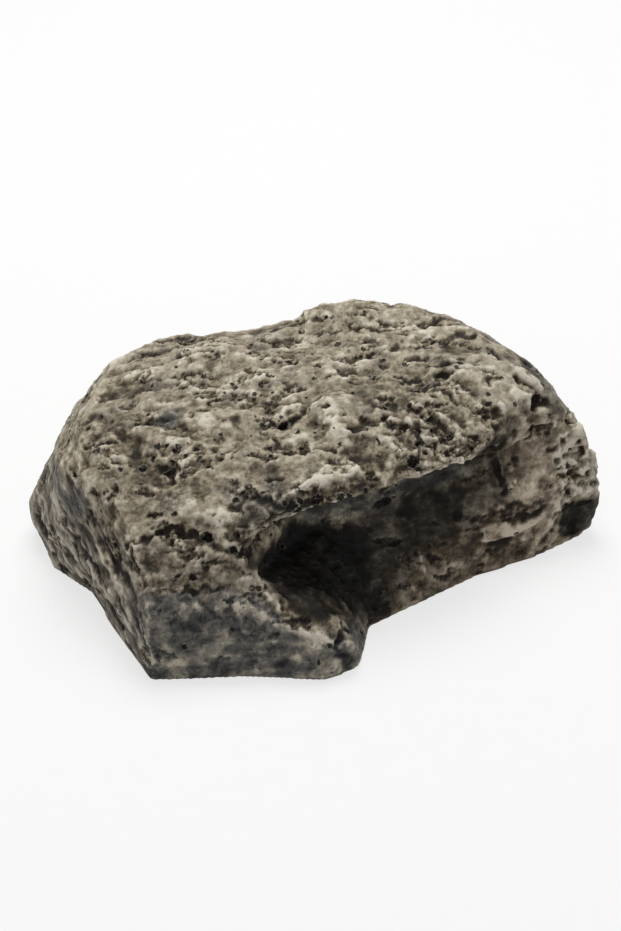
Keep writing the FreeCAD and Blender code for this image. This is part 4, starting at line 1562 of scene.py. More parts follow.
# Ridges, cuts and dabs of paint, place by place. Widths and heights are in mm.
STROKES: list[Stroke] = [
    # The left shoulder.
    *laid(TOP, (
        (1.0, -0.35, -0.16, (-28, 16), (-25, 16.7), (-22, 16)),
        (0.9, -0.4, -0.16, (-31.5, 12.7), (-30.5, 12.5)), (1.0, -0.45, -0.12, (-27.3, 5.2), (-28.3, 2)),
        (0.6, -0.3, -0.2, (-29.2, 7.5), (-28.5, 6)), (0.9, -0.4, -0.16, (-28.5, 0), (-26, 0.5)),
        (0.9, -0.4, -0.18, (-25.5, -1.5), (-24, -2)), (0.35, 0.15, 0.4, (-24.3, 4.3), (-23.2, 4.1)),
        (0.7, 0.35, 0.22, (-23, 1.8), (-21.3, 1)), (0.7, 0.3, 0.12, (-20.3, 8.3), (-18.5, 7.8)),
        (0.8, 0.25, 0.12, (-24, 10), (-22, 9.5)), (1.1, 0.3, 0.12, (-23.5, 18.3), (-20, 18)),
        (0.9, -0.3, -0.12, (-20.5, 3.3), (-19.6, 2)), (1.5, 0.2, 0.16, (-18.5, 4.2), (-14.5, 3.2)),
        (1.2, 0.1, 0.18, (-17.5, 1.8), (-14.5, 1)), (0.8, 0.3, 0.24, (-24, 1.4), (-22.6, 0.6)),
        (0.8, -0.3, -0.14, (-24.5, 14.6), (-22, 13.8)), (1.3, 0.15, 0.12, (-13.5, 18.5), (-10.5, 17.5)),
        (0.9, -0.3, -0.14, (-16.5, 22.5), (-15, 22.3)), (0.8, -0.3, -0.16, (-12.5, 22.3), (-10, 22.3)),
        (0.9, -0.3, -0.14, (-15, 13.3), (-11.5, 14)), (0.8, 0.35, 0.14, (-7, 7.3), (-6.3, 7.1)),
        (0.9, -0.1, -0.12, (-6, 18), (-5, 17.8)),
    )),
    # Low swells that carry the outline, on the crest and at both ends.
    *laid(TOP, (
        (2.7, 0.75, 0.0, (7.8, 19.2), (12, 18.4), (15.4, 16.9)), (2.4, 0.35, 0.0, (19.6, 14.6), (22, 12.4)),
        (2.2, -0.25, 0.0, (-1, 20.6), (2, 20.2)), (2.0, 0.5, 0.0, (-24, 24.4), (-21, 25)),
        (2.0, -0.7, 0.0, (-30, 22)),
    )),
    *laid(FRONT, (
        (2.2, 0.9, 0.0, (38.4, 3.5), (38.8, 7), (38.4, 13)), (1.5, 0.7, -0.1, (37, 18), (37.6, 17)),
    )),
    # Broad dry-brushed places of the upper face.
    *brushed(TOP, 0.1, (
        (2.0, 0.14, (-8.6, 8.6), (-11.6, 7.8)), (1.6, 0.14, (-17.4, 13.4), (-16.2, 13)),
        (1.8, 0.12, (-22.8, 17.6), (-21.4, 17.2)), (1.3, 0.14, (-23, 7.4)),
        (1.5, 0.16, (-23.6, -3), (-21.4, -3.4)), (1.1, 0.16, (-18.6, -11.2), (-15.8, -11)),
        (1.2, 0.14, (-32, 2.8), (-31.6, 2)), (1.4, 0.14, (6.3, 5.3), (2.4, 6.2)),
        (2.0, 0.08, (0.7, 12.2), (-4.8, 13.8)), (1.5, 0.1, (19.5, 8), (21, 7)), (0.9, 0.16, (26.8, -1.5)),
        (0.9, 0.2, (25, -4.5)), (1.1, 0.16, (19.5, -6)), (0.9, 0.18, (-2.3, -4.4)), (0.8, 0.16, (-3.5, -1)),
        (1.4, 0.12, (-3.6, 2.2), (-5.6, 3.2)), (0.8, 0.2, (12.1, -9.6)), (0.9, 0.22, (6.6, -15)),
        (0.7, 0.14, (4, -12)), (0.9, 0.12, (-7.4, -7.9)), (0.9, 0.2, (29.9, -8.7)),
        (1.2, 0.1, (11.4, 13.7), (15.3, 11.8)), (0.8, 0.16, (-13.1, -27.2), (-11.5, -27.6)),
        (1.4, 0.1, (-22.5, 8), (-21.6, 8.4)), (1.8, 0.08, (-17, 15.2), (-22.7, 17.9)),
        (1.6, 0.1, (-10.2, 15.5), (-4.8, 13.8)), (1.3, 0.14, (-9.9, 4.4), (-9.2, 5)),
        (1.3, 0.12, (6.6, 7.2), (6.9, 4)), (1.3, 0.12, (6.7, 14.4)), (1.6, 0.1, (17.4, 10.2), (19.6, 5.2)),
        (0.9, 0.14, (24.8, -4.8)), (1.5, 0.1, (19.2, -6.6), (20.7, -9.9)), (1.0, 0.1, (16, -8)),
        (0.9, 0.12, (7, -9.6)), (1.0, 0.12, (0.4, -9)), (1.0, 0.12, (-9.6, -1.8)), (1.2, 0.12, (-17.9, 1)),
        (1.3, 0.12, (-23.7, -0.2), (-21.7, -2.2)), (1.0, 0.12, (-26.4, 3.3)),
        (1.2, 0.14, (-16, -8.5), (-17.6, -10.9)), (1.0, 0.12, (-4, -1)), (0.8, 0.16, (6.6, -15.2)),
        (0.8, 0.12, (30, -8.7)),
    )),
    # Broad places where the dark wash stayed.
    *brushed(TOP, -0.1, (
        (2.0, -0.1, (-1, 0.4), (3.7, -0.4), (9, -1.1), (14.2, -1.6), (17.4, -1.8)),
        (1.8, -0.08, (8.5, -4), (12, -6.3)), (1.2, -0.1, (22.4, 3.5), (22.3, -1.6)),
        (1.2, -0.08, (17.4, 2.4)), (1.3, -0.16, (-1.5, -11.9), (1, -14.1)),
        (1.2, -0.12, (-7.2, -12.3), (-10.6, -9.6)), (1.2, -0.1, (-13.5, -6.7), (-12, -7.6)),
        (1.0, -0.16, (11.5, -11.9)), (1.1, -0.18, (22.8, -12.1), (21.6, -10.6)), (1.3, -0.2, (30, -10.3)),
        (1.6, -0.12, (-29.9, 10.5), (-31.5, 8)), (1.6, -0.1, (-27.4, 3.8), (-27.7, 0.1)),
        (1.6, -0.12, (-27.3, -6.2)), (1.3, -0.12, (-22.2, -8.1)), (0.8, -0.16, (-20.6, 1.4)),
        (1.3, -0.12, (-13.8, 0.9), (-13.2, -3.4)), (2.2, -0.12, (-13, -21.6), (-10, -25)),
        (1.6, -0.12, (-29.4, 5.4), (-28.6, -0.8)), (1.2, -0.1, (-32.1, 11.8)), (1.2, -0.1, (-20.8, 1.4)),
        (1.2, -0.14, (-13.6, 1.2)), (1.6, -0.16, (-3.5, 21.4), (1, 20.6)), (1.3, -0.12, (19.8, -0.4)),
        (1.8, -0.12, (14.4, -3.8), (9.5, -6.2)), (1.2, -0.1, (4, -2.5)),
        (1.2, -0.16, (0.5, -12.6), (3.4, -14)), (1.1, -0.14, (-6.1, -12.7)),
        (1.1, -0.14, (-10.2, -4.6), (-9, -5.4)), (1.0, -0.14, (-4, -8.1)),
        (0.9, -0.14, (-2.7, -16.9), (-1.4, -16.8)), (1.2, -0.2, (22.6, -12.5), (30, -10.1)),
        (0.8, -0.14, (11.2, -12.2), (7.9, -12.2)), (1.0, -0.14, (16.2, -12.5)), (0.8, -0.14, (12.6, -16)),
        (1.0, -0.14, (-16.8, -13.3)), (0.8, -0.14, (-11, -15.1)), (1.6, -0.14, (33.5, -5), (32, -2)),
        (1.8, -0.16, (28.2, 2.4), (26.5, 5)), (0.8, -0.2, (-1.2, -11), (-0.6, -13.2), (2.6, -14.2)),
        (0.7, -0.2, (11.2, -12.2), (11, -11.2)), (0.9, -0.12, (-8, -12.5)), (1.0, -0.12, (-13.6, 1.2)),
        (1.3, -0.12, (22.3, 3.5)), (1.2, -0.08, (14.5, -2)), (1.0, -0.16, (22, -12.6), (24, -12)),
    )),
    # The middle: a crevice with its pale ridge, the tongue and the shadow beside it.
    *laid(TOP, (
        (0.5, -0.5, -0.3, (-9.8, -1.4), (-7.2, -2.6), (-6, -2.9), (-4.3, -2.1), (-3.2, -1.4), (-2.4, -0.4)),
        (0.7, 0.5, 0.2, (-8, -0.9), (-5.5, -0.2), (-4, -0.5), (-3.5, -1)),
        (0.45, -0.5, -0.25, (-10.4, -2.8), (-9.6, -4.6), (-9.3, -5.6)),
        (0.4, 0.3, 0.25, (-10.6, -3.1), (-10, -3.5)), (1.3, 0.15, 0.16, (-2, -2.2), (0, -2.4), (2.2, -2.7)),
        (1.0, 0.15, 0.2, (0.3, -3.5), (-0.8, -5.2), (-1.1, -7), (-0.9, -8.7)),
        (0.45, -0.3, -0.15, (-2.5, -0.8), (0.4, -0.5), (2.6, -1.3)),
        (1.3, -0.4, -0.16, (1.6, -8.2), (1.4, -10), (0.4, -11.5)), (0.5, -0.4, -0.25, (0.6, -7.9), (3, -8)),
        (0.7, 0.25, 0.2, (3, -9.3), (4.5, -11), (5.3, -12.5)),
        (0.8, -0.3, -0.14, (-3, -4.2), (-2.4, -6.2), (-3.6, -7)),
        (0.8, -0.4, -0.2, (6.5, -5.5), (8.3, -6.3)), (0.8, -0.2, -0.12, (5.6, -2), (5.9, -5.5)),
        (0.45, -0.35, -0.2, (-1.8, 9.9), (0, 9.1)), (0.4, 0.2, 0.14, (-2.4, 8.8), (-0.8, 8.4)),
        (0.4, -0.4, -0.22, (10.3, 12.6), (12, 11.8), (13.8, 10.8), (15.3, 10.3)),
        (0.35, 0.3, 0.35, (4.6, 2.4), (5.2, 2.1), (6, 2.8), (5.9, 3.7)),
        (1.0, 0.2, 0.06, (-13, -4), (-11, -8.5)),
    )),
    # The lip: a pale jagged edge with holes beneath it, then broken plates to the right.
    *laid(TOP, ((0.8, 0.2, 0.24, (-11, -14), (-8, -14.6), (-4.6, -13.6), (-1.5, -13.4), (-0.9, -15)),)),
    *laid(FRONT, (
        (0.6, -0.5, -0.24, (-10, 22), (-6, 22), (-3.5, 21.4), (-0.6, 17)),
        (1.3, -0.2, -0.16, (-9.5, 20.4), (-5.5, 19.4), (-2, 18)),
        (1.0, -0.2, -0.12, (0.6, 23.8), (2.4, 23.4)), (1.4, -0.1, -0.1, (3.8, 21.6), (6, 20.8)),
        (0.5, -0.3, -0.2, (-4, 17.1), (0, 16.2), (5, 15.6)), (0.7, 0.5, 0.16, (12.2, 20.4), (13.4, 20.6)),
        (0.7, 0.5, 0.18, (14.8, 22.4), (16, 21.4)), (0.6, -0.6, -0.24, (14.2, 19.6), (15.3, 19.6)),
        (0.6, -0.6, -0.24, (12, 18.4), (13.6, 18.5)), (0.6, 0.4, 0.14, (17.6, 20.2), (18.4, 20)),
    )),
    *dabbed(FRONT, 0.7, -0.9, -0.2, (
        (-13.4, 18.6), (-9.2, 18.9), (-3.1, 17), (1.2, 16.4), (4.4, 16), (10.8, 17.5), (18.6, 19),
    )),
    *laid(TOP, (
        (0.8, 0.35, 0.06, (0.5, -13.5), (2.5, -16.5), (4.5, -15)),
        (1.0, -0.4, -0.35, (6.8, -15.2), (8.3, -15.8)), (0.5, 0.4, 0.2, (5.5, -13), (6.4, -14.3)),
        (0.6, 0.4, 0.18, (9.5, -16), (12, -16.3)),
    )),
    # The fingers that curve down towards the lip.
    *laid(TOP, (
        (0.45, 0.3, 0.2, (9.6, -10.2), (11, -11.8), (12, -14.6)),
        (0.45, 0.3, 0.22, (11, -7.4), (13.5, -9.3), (15.4, -11.8), (15.6, -14)),
        (0.4, 0.4, 0.18, (16, -6), (17.6, -6.2), (18.2, -7.6)),
        (0.5, -0.7, -0.3, (10.4, -10.8), (9.7, -12.5), (9.5, -13.6)),
        (0.4, -0.5, -0.25, (8.9, -14.3), (8.6, -15.6)),
        (0.6, -0.55, -0.24, (12.2, -10.3), (14, -12), (14.4, -13.6)),
        (0.45, -0.4, -0.2, (15.2, -6.4), (15.3, -8.8)),
        (0.4, -0.35, -0.2, (16.6, -6.9), (17.6, -7.4), (17.9, -8.8)),
        (0.6, -0.2, -0.12, (19.8, -8.5), (20, -10.5)),
        (0.55, -0.4, -0.32, (12.8, -4.4), (14.3, -5), (17, -4), (18.6, -2.6)),
        (0.6, 0.3, 0.1, (13, -3), (16, -2.4), (17.5, -1.4)), (0.4, -0.35, -0.22, (14.2, 5.2), (16.2, 6.4)),
    )),
    # The right-hand slope.
    *laid(TOP, (
        (0.6, -0.3, -0.28, (23.3, 4), (25, 4.2), (26.7, 3.3)),
        (1.3, -0.1, -0.18, (22, 2.2), (23, 0), (25, 0.6)), (1.0, -0.1, -0.18, (22.2, 8.6), (23.2, 8.2)),
        (0.9, 0.1, 0.14, (23.8, 6.4), (26.5, 4.8)), (0.9, -0.2, -0.16, (19.2, -1), (20.3, -2.8)),
        (0.7, -0.4, -0.24, (17.4, -3.2), (19.4, -3.2)), (0.8, -0.4, -0.2, (12.3, -11.2), (13.8, -12.2)),
        (0.7, -0.4, -0.2, (16.4, -11), (17.2, -12.6)), (0.8, -0.3, -0.2, (7.6, -13), (8.4, -14)),
        (0.6, -0.5, -0.2, (9.2, -13.6), (9.9, -14.8)), (0.9, 0.1, 0.16, (28, -7.8), (29.6, -8.8)),
        (0.4, -0.25, -0.16, (20.5, -1.2), (22.5, -2), (25, -2.8)),
        (0.4, -0.2, -0.14, (20.3, -2.8), (23, -4), (25.5, -4.8)),
        (0.4, -0.25, -0.16, (24, -6), (26.5, -6.3)), (0.6, -0.6, -0.3, (28.2, -0.8), (28, -2.6)),
        (0.6, 0.3, 0.26, (29.7, -4.6), (31, -6), (32.6, -7.6)),
        (0.5, -0.45, -0.22, (29.2, -5.8), (31, -7.8), (31.5, -9)),
        (0.9, 0.5, 0.16, (27.8, -8.6), (29.2, -8.6)), (0.4, 0.3, 0.3, (24.6, -9.8), (25.3, -10)),
        (0.8, -0.8, -0.3, (31, -9.4), (33, -9.2)), (0.7, -0.5, -0.22, (22.4, -9.4), (24, -10.6)),
    )),
    # The front: the bright edge over the crumbled band, and the boundary cut beneath it.
    *laid(FRONT, (
        (1.4, 0.3, 0.18, (-28, 20.4), (-25, 20.6), (-21, 20.2)),
        (0.45, -0.5, -0.26, (-34, 16.5), (-31, 17.8), (-28, 18.7), (-25, 18.4)),
        (0.9, -0.6, -0.2, (-25, 17.6), (-22.5, 17.4)), (0.8, -0.5, -0.18, (-21.5, 16.8), (-19.5, 16.3)),
        (0.8, -0.6, -0.26, (-19, 21.3), (-16.5, 22.4), (-14, 22), (-12, 21.5)),
        (1.2, -0.1, -0.12, (-17.5, 20), (-15, 19.6)), (0.9, 0.5, 0.24, (-19.4, 13.4), (-18, 12.6)),
        (0.9, 0.5, 0.14, (-17, 10.5), (-16, 9.5)), (0.4, -0.3, -0.2, (-15.6, 9.5), (-15, 7.4)),
        (0.4, -0.35, -0.2, (-30, 12.6), (-28, 12.8), (-27, 12.2)),
        (0.3, -0.25, -0.2, (-30.5, 10.6), (-29, 12), (-27, 12.3)),
        (0.5, 0.1, 0.2, (-27.6, 11), (-27, 10.8)), (0.35, -0.1, -0.14, (-24, 10), (-23, 9.8)),
        (0.8, 0.15, 0.16, (-21.5, 10), (-17.5, 8.6), (-15, 7)),
    )),
    *brushed(FRONT, 0.1, (
        (0.8, 0.15, (-28, 11)), (1.8, 0.15, (-27.5, 4.6)), (1.2, 0.15, (-24.6, 6.6)),
        (1.5, 0.15, (-23.4, 4)), (1.2, 0.15, (-33, 8.4)), (1.5, 0.15, (-31, 2.2)), (1.0, 0.15, (-35, 4)),
        (1.2, 0.15, (-20, 2.6)), (1.0, 0.15, (-16, 4)), (1.3, 0.15, (-12, 2.6)), (0.9, 0.15, (-18.5, 6.4)),
        (1.0, 0.15, (-5.6, 3.4)),
    )),
    *brushed(FRONT, -0.1, (
        (1.3, -0.14, (-30.6, 8.6)), (0.8, -0.14, (-30, 5.8)), (0.9, -0.14, (-22.8, 7.6)),
        (1.5, -0.14, (-26, 1.6)), (1.3, -0.14, (-19.6, 8)), (1.2, -0.14, (-17.6, 2.8)),
        (0.9, -0.14, (-14.6, 1.6)), (0.9, -0.14, (-9.6, 3.2)), (0.8, -0.14, (-8, 1.2)),
        (0.8, -0.14, (-34, 6)), (0.6, -0.14, (-21.6, 10.8)), (0.9, -0.14, (-33.6, 1.4)),
    )),
    *laid(TOP, ((0.9, 0.3, 0.3, (-14.4, -25.8), (-11, -27.2)),)),
    *laid(FRONT, (
        (0.75, -0.4, -0.24, (-9.3, 6)), (0.65, -0.4, -0.24, (-7.3, 5.3)), (0.5, -0.3, -0.22, (-10, 4.6)),
        (1.0, 0.15, -0.2, (-8.8, 3)), (0.4, 0.3, 0.12, (-8.5, 4.9)),
        (0.5, 0.2, 0.16, (-10.6, 3), (-10.2, 1.2)), (0.45, 0.25, 0.14, (-7.2, 4), (-6.9, 2.4)),
        (0.5, -0.4, -0.22, (-10.6, 5), (-9, 6.4), (-7.6, 6.2)), (1.0, -0.4, -0.16, (-9.6, 3), (-8, 2)),
        (0.6, 0.4, 0.18, (-6.5, 7.5), (-5.6, 5)),
    )),
    *brushed(FRONT, 0.1, (
        (1.3, 0.14, (-16.5, 19.4), (-15, 18.6)), (0.9, 0.16, (-19.8, 12.2)),
        (1.4, 0.16, (-27.4, 16.8), (-26, 16.4)), (1.4, 0.14, (33.9, 14.4), (35, 13.6)),
        (1.1, 0.16, (26.4, 4.6)), (1.5, 0.14, (-32.6, 3.7)), (1.0, 0.14, (-27.3, 7.6)),
        (1.6, -0.14, (-30.6, 15.7)), (1.4, -0.12, (-33.8, 13.3)), (1.5, -0.16, (3.9, 1.5), (0, 0.8)),
        (1.6, -0.1, (19.7, 9)), (1.6, -0.1, (27.7, 12.6)), (1.2, -0.1, (30.3, 3.3)),
        (0.9, -0.12, (20.4, 5.9)), (0.9, -0.16, (-18.7, 13.8)), (1.4, -0.08, (-20, 5.8)),
        (1.5, -0.14, (20.8, 13.9), (20.4, 12)), (1.6, -0.14, (15.5, 9.4), (14.4, 5.6)),
        (1.0, -0.14, (22.4, 1.7), (20.4, 5)), (1.1, -0.14, (30.3, 2.6)),
        (1.5, -0.12, (-28.4, 20.8), (-27, 19.6)), (1.5, -0.12, (-31.6, 16.7), (-33.2, 13.4)),
        (1.3, -0.12, (-28.3, 11.3), (-24.3, 16.4)), (1.0, -0.16, (-16.5, 9.8)), (1.0, -0.14, (-10.4, 7.6)),
        (1.0, -0.16, (3.6, 1.2), (0, 0.8)), (1.0, -0.16, (-30.9, 0.8)), (1.0, 0.12, (37.6, 11.2)),
        (1.2, 0.12, (31.6, 14.7), (33.6, 14)), (1.0, 0.12, (26.5, 14.6)), (1.0, 0.12, (29.4, 10.4)),
        (0.9, 0.16, (24.4, 4.5)), (1.0, 0.16, (17.9, 3.1), (13, 2.8)), (1.1, 0.12, (-20.6, 19.2)),
        (1.0, 0.1, (-26.9, 18)), (1.2, 0.14, (-23.3, 15.2)), (1.0, 0.16, (-14.7, 10.5), (-19.4, 12)),
        (1.1, 0.14, (-14.1, 6.2), (-12.6, 5.2)), (1.2, 0.12, (-17.9, 4.2)),
        (1.3, 0.12, (-27.7, 3.5), (-33.4, 3.8)), (1.0, 0.12, (-22.8, 11.3), (-19, 9)),
        (1.4, 0.1, (-4, 11.2), (-2, 10.8)), (1.6, 0.2, (-14.6, 15.2)), (1.1, 0.22, (35.6, 17), (35.2, 12)),
        (1.0, -0.2, (4.2, 1.6), (1, 0.8), (-1, 0.8)), (0.9, -0.14, (-10.4, 7.4)),
    )),
    # The lip's darker lower edge, and its pale roll above.
    *laid(TOP, (
        (1.0, -0.15, -0.28, (-12.2, -15.5), (-8.4, -16.1), (-4, -16.6), (-1.6, -16.8), (0.8, -16.8)),
        (0.7, 0.4, 0.12, (-9.8, -14), (-6.4, -14.4), (-3.4, -14.6), (-1, -14.8)),
    )),
    # The smooth swell along the top of the slate, with its brush marks.
    *laid(FRONT, (
        (1.1, 0.3, 0.04, (-30.4, 10.6), (-27.2, 11), (-24.5, 10.8), (-21.6, 10.2), (-18.4, 8.6)),
        (0.35, -0.25, -0.16, (-29.4, 12.4), (-26, 12.6), (-23, 12.2)),
        (0.25, -0.15, -0.16, (-25.4, 9.4), (-22.6, 9.2)), (0.3, -0.15, -0.16, (-31.4, 8.8), (-30, 10.2)),
        (0.3, -0.12, -0.12, (-24.4, 7.8), (-21, 7), (-18.6, 5.6)), (1.2, -0.1, -0.16, (-33, 15.6)),
        (1.0, 0.0, -0.14, (-20.6, 10), (-19.6, 9.6)), (1.2, 0.0, -0.12, (-21.4, 6), (-22.6, 5)),
        (1.2, 0.0, 0.12, (-14.4, 6.4), (-13.6, 5.8)),
    )),
    # The planed slab on the buttress and the grain lines over it.
    *laid(FRONT, (
        (1.1, 0.25, 0.14, (20.5, 6.2), (24.1, 6), (27, 6.2), (29.6, 7.2)),
        (0.35, -0.2, -0.18, (22.6, 9.7), (25.4, 9.6), (28, 9.2), (30.2, 8.4)),
        (0.25, -0.15, -0.14, (23.4, 8.4), (26, 8.3), (28.8, 8.2)),
        (0.5, -0.2, -0.18, (19.4, 8.8), (22, 7.8)),
    )),
    # Under the lip and on the buttress.
    *laid(FRONT, (
        (1.3, 0.1, 0.22, (-8, 14.2), (-3, 12.9), (1, 12.6), (5, 13.8)),
        (1.3, 0.0, 0.14, (-1, 11.4), (2, 11)), (0.8, 0.1, 0.12, (6.5, 13.4), (10, 13.6)),
        (1.6, -0.1, -0.12, (14.5, 12), (19, 13.4)), (1.6, 0.0, -0.08, (15.4, 8), (17.2, 4.4)),
        (1.0, 0.2, 0.16, (20.4, 6.6), (24, 6), (28, 6.2), (30.6, 5.4), (31.8, 8), (31.4, 11)),
        (1.8, 0.1, 0.12, (27.6, 13), (30.4, 15.6)),
        (0.5, -0.2, -0.2, (21.4, 8.8), (24.6, 8.9), (28.4, 8.2)),
        (0.5, -0.25, -0.2, (22.6, 10.2), (26, 10.2), (29, 9.6)),
        (0.35, -0.15, -0.16, (23, 7.6), (26, 7.8), (28.6, 7.2)),
        (0.8, -0.3, -0.2, (21.4, 4.6), (23.4, 4.4)), (1.1, -0.1, -0.14, (23.6, 2.6), (26.6, 2.6)),
        (1.1, 0.0, 0.1, (27, 3.4), (31, 2.4)), (0.9, -0.2, -0.14, (22.4, 18.8), (22.8, 13.6)),
        (0.3, 0.3, 0.2, (23.6, 19), (23.7, 14.6)), (0.35, 0.3, 0.2, (25.6, 19.4), (25.8, 13.2)),
        (0.5, -0.3, -0.16, (26.8, 20), (26.6, 15)), (0.6, 0.3, 0.26, (24.6, 12.6)),
        (0.4, 0.2, 0.24, (9.8, 5.6), (9.6, 3.6)), (1.2, 0.1, 0.16, (11, 2.6), (13.6, 3.2)),
        (0.7, 0.2, 0.24, (7.2, 2.2)), (0.4, -0.3, -0.2, (10.8, 5), (11.4, 4.2)),
        (0.9, 0.3, 0.12, (20, 5.6), (24, 6), (28, 6.6)), (0.5, -0.5, -0.24, (20.5, 6.3), (22.3, 5.9)),
        (0.45, -0.3, -0.2, (21.5, 9.6), (25, 9.4), (29, 8.4)),
        (0.4, -0.2, -0.14, (22, 8.6), (25, 8.4), (28, 7.8)), (1.4, 0.2, 0.1, (27, 12), (29.5, 13.5)),
        (0.8, 0.3, 0.14, (32.6, 9), (31.6, 5), (29, 3.4)),
        (0.5, -0.5, -0.2, (22.6, 19), (23.6, 15), (24.2, 12)), (0.4, 0.3, 0.12, (24.6, 18), (24.4, 15)),
    )),
    # The nodules of the strip on the right, and the gaps between them.
    *dabbed(FRONT, 0.65, 0.45, 0.18, (
        (33.4, 19.6), (34.6, 18.2), (35.4, 16.2), (33.6, 15.8), (35.9, 13.6), (34.2, 13.2), (36.8, 11.8),
        (35, 10.8), (36, 9.4), (33.8, 11.2), (37.4, 14.8), (37.8, 9.8),
    )),
    *dabbed(FRONT, 0.5, -0.5, -0.2, (
        (34.2, 17), (35, 14.8), (33.4, 14.4), (36.4, 12.8), (35.2, 12.2), (34.2, 9.8), (36.6, 16.8),
        (37, 10.6),
    )),
    # Streaks down the left side.
    *laid(LEFT, (
        (0.7, 0.3, 0.18, (-2.5, 12.8), (-7, 11.4), (-12, 9.6), (-14.4, 8)),
        (1.5, 0.0, -0.16, (-3.5, 18.2), (-5.5, 16.8)), (0.9, -0.1, -0.16, (-7.4, 12.6), (-9.4, 11.8)),
        (1.0, 0.0, 0.16, (1.1, 19.9)), (1.2, 0.1, 0.2, (7.7, 2.3)),
        (1.2, -0.1, -0.14, (-1.1, 18.4), (-3.6, 18.4)), (1.2, -0.1, -0.12, (-7.9, 12.2)),
        (1.2, -0.1, -0.12, (5.2, 10), (4.4, 12)), (0.9, 0.1, 0.14, (-8.8, 15.6)),
        (0.8, -0.4, -0.2, (-3.5, 14.2), (-9.5, 12.6), (-13.5, 11)),
        (0.7, -0.4, -0.22, (4, 10), (0, 9.4), (-4, 9.6)), (0.7, 0.25, 0.2, (0, 8.2), (-5, 7.8), (-9, 8.2)),
        (0.9, 0.25, 0.18, (8, 8), (5, 7.4), (2, 6.8)), (0.8, 0.2, 0.14, (12, 5), (6, 4), (0, 3)),
        (0.6, -0.3, -0.18, (0, 5.6), (-6, 4.6), (-10, 3.4)), (0.8, -0.3, -0.18, (6.4, 5.8), (4.6, 5.4)),
        (0.8, -0.4, -0.2, (-8.6, 6.8), (-9.6, 6)), (0.9, 0.3, 0.28, (-11, 7.4), (-13, 6.2)),
        (0.7, 0.2, 0.2, (-15.5, 8), (-16.3, 6.5)), (1.5, 0.2, 0.2, (10, 13.8), (8, 11.6)),
        (1.0, 0.3, 0.28, (15.6, 8.2), (14.6, 7)), (1.0, 0.3, 0.22, (18, 10.6), (17, 9)),
        (0.4, -0.4, -0.24, (9.5, 10.4), (6, 10.5), (3, 10.7)), (0.8, -0.3, -0.2, (14, 6.3), (12.6, 5.6)),
        (0.5, -0.35, -0.2, (13, 14.6), (12.2, 12)), (0.35, 0.2, 0.18, (11.6, 14), (11, 11.6)),
        (0.7, -0.3, -0.16, (2, 13.6), (-2, 12.4)), (0.5, -0.25, -0.14, (-6, 16), (-11, 14.4)),
    )),
]

# The larger holes listed face by face: the place on its two axes, and the radius, in mm.
HOLES: dict[Face, tuple[Point, ...]] = {
    TOP: (
        (-33.2, 5.2, 0.6), (-26, 7, 0.55), (-25.6, 8.1, 0.35), (-31.2, 0.8, 0.4), (-20.2, -1.2, 0.4),
        (-20.3, -3, 0.5), (-22, -1.5, 0.3), (-22.5, 0, 0.45), (-25, 1.8, 0.4), (-16, -0.5, 0.3),
        (-14.8, -1.3, 0.3), (-17, -0.7, 0.25), (-9.7, -1.2, 0.4), (-7, -2.3, 0.8), (-7, 5.8, 0.5),
        (-5.3, 6.8, 0.4), (-10.5, 7.3, 0.35), (-13.5, 12.5, 0.45), (-12.7, 11.8, 0.35), (-7.4, 17, 0.35),
        (-4.2, 16.5, 0.35), (0.8, 4.4, 0.45), (5.2, 3, 0.62), (9, 1.5, 0.5), (11.8, 4, 0.5),
        (14.3, 1.4, 0.5), (7.2, 10, 0.5), (3.7, 15.5, 0.45), (-7.5, 0.5, 0.45), (-10.2, -3.7, 0.3),
        (-6, -5.2, 0.4), (-2.7, -4.5, 0.35), (-2.3, -6, 0.35), (-3.8, -6.4, 0.3), (-1.5, -10, 0.5),
        (7.5, -6, 0.5), (6.4, -7.6, 0.35), (3.3, -8.6, 0.4), (4.4, -1.5, 0.35), (9.7, -13.3, 0.8),
        (14.5, -13.3, 0.6), (7.5, -15.5, 0.9), (6, -14, 0.35), (12, -10.9, 0.45), (23.4, -8, 0.35),
        (26.5, -6, 0.3), (22.8, -9.3, 0.45), (-28, 0, 0.55), (-26.3, 0.4, 0.5), (-25, -2, 0.6),
        (13.5, -4.8, 0.7),
    ),
    FRONT: (
        (-18.3, 21.7, 0.5), (-17, 22.3, 0.45), (-15.8, 22.8, 0.6), (-12.3, 22, 0.45), (-10.7, 21.7, 0.45),
        (-7.6, 22.3, 0.45), (-4.6, 22, 0.6), (-3.4, 21.8, 0.5), (-0.6, 17, 0.6), (-19.2, 11.6, 0.5),
        (-18.2, 11.4, 0.5), (-16.9, 11, 0.4), (-23.3, 17.9, 0.8), (-20.5, 16.6, 0.6), (-26.8, 13.8, 0.6),
        (-30.2, 5.8, 0.45), (-23.3, 7.5, 0.3), (-11.2, 5.4, 0.4), (25, 5.6, 0.35), (24.9, 12.3, 0.3),
        (23.3, 18.5, 0.4), (11, 4.8, 0.3),
    ),
}


# ------------------------------------------------------------------ the studio


@dataclass(frozen=True)
class Lamp:
    """A square lamp that faces the rock and lights it to a share of full level."""

    name: str
    place: Point
    size: float
    share: float

    def build(self) -> None:
        """Make the lamp."""
        data = bpy.data.lights.new(self.name, "AREA")
        data.size = self.size * MM
        away = Vector(self.place).length * MM
        data.energy = self.share * math.pi * math.pi * away * away
        lamp = add_object(self.name, data)
        lamp.location = Vector(self.place) * MM
        lamp.rotation_euler = Vector(self.place).to_track_quat("Z", "Y").to_euler()


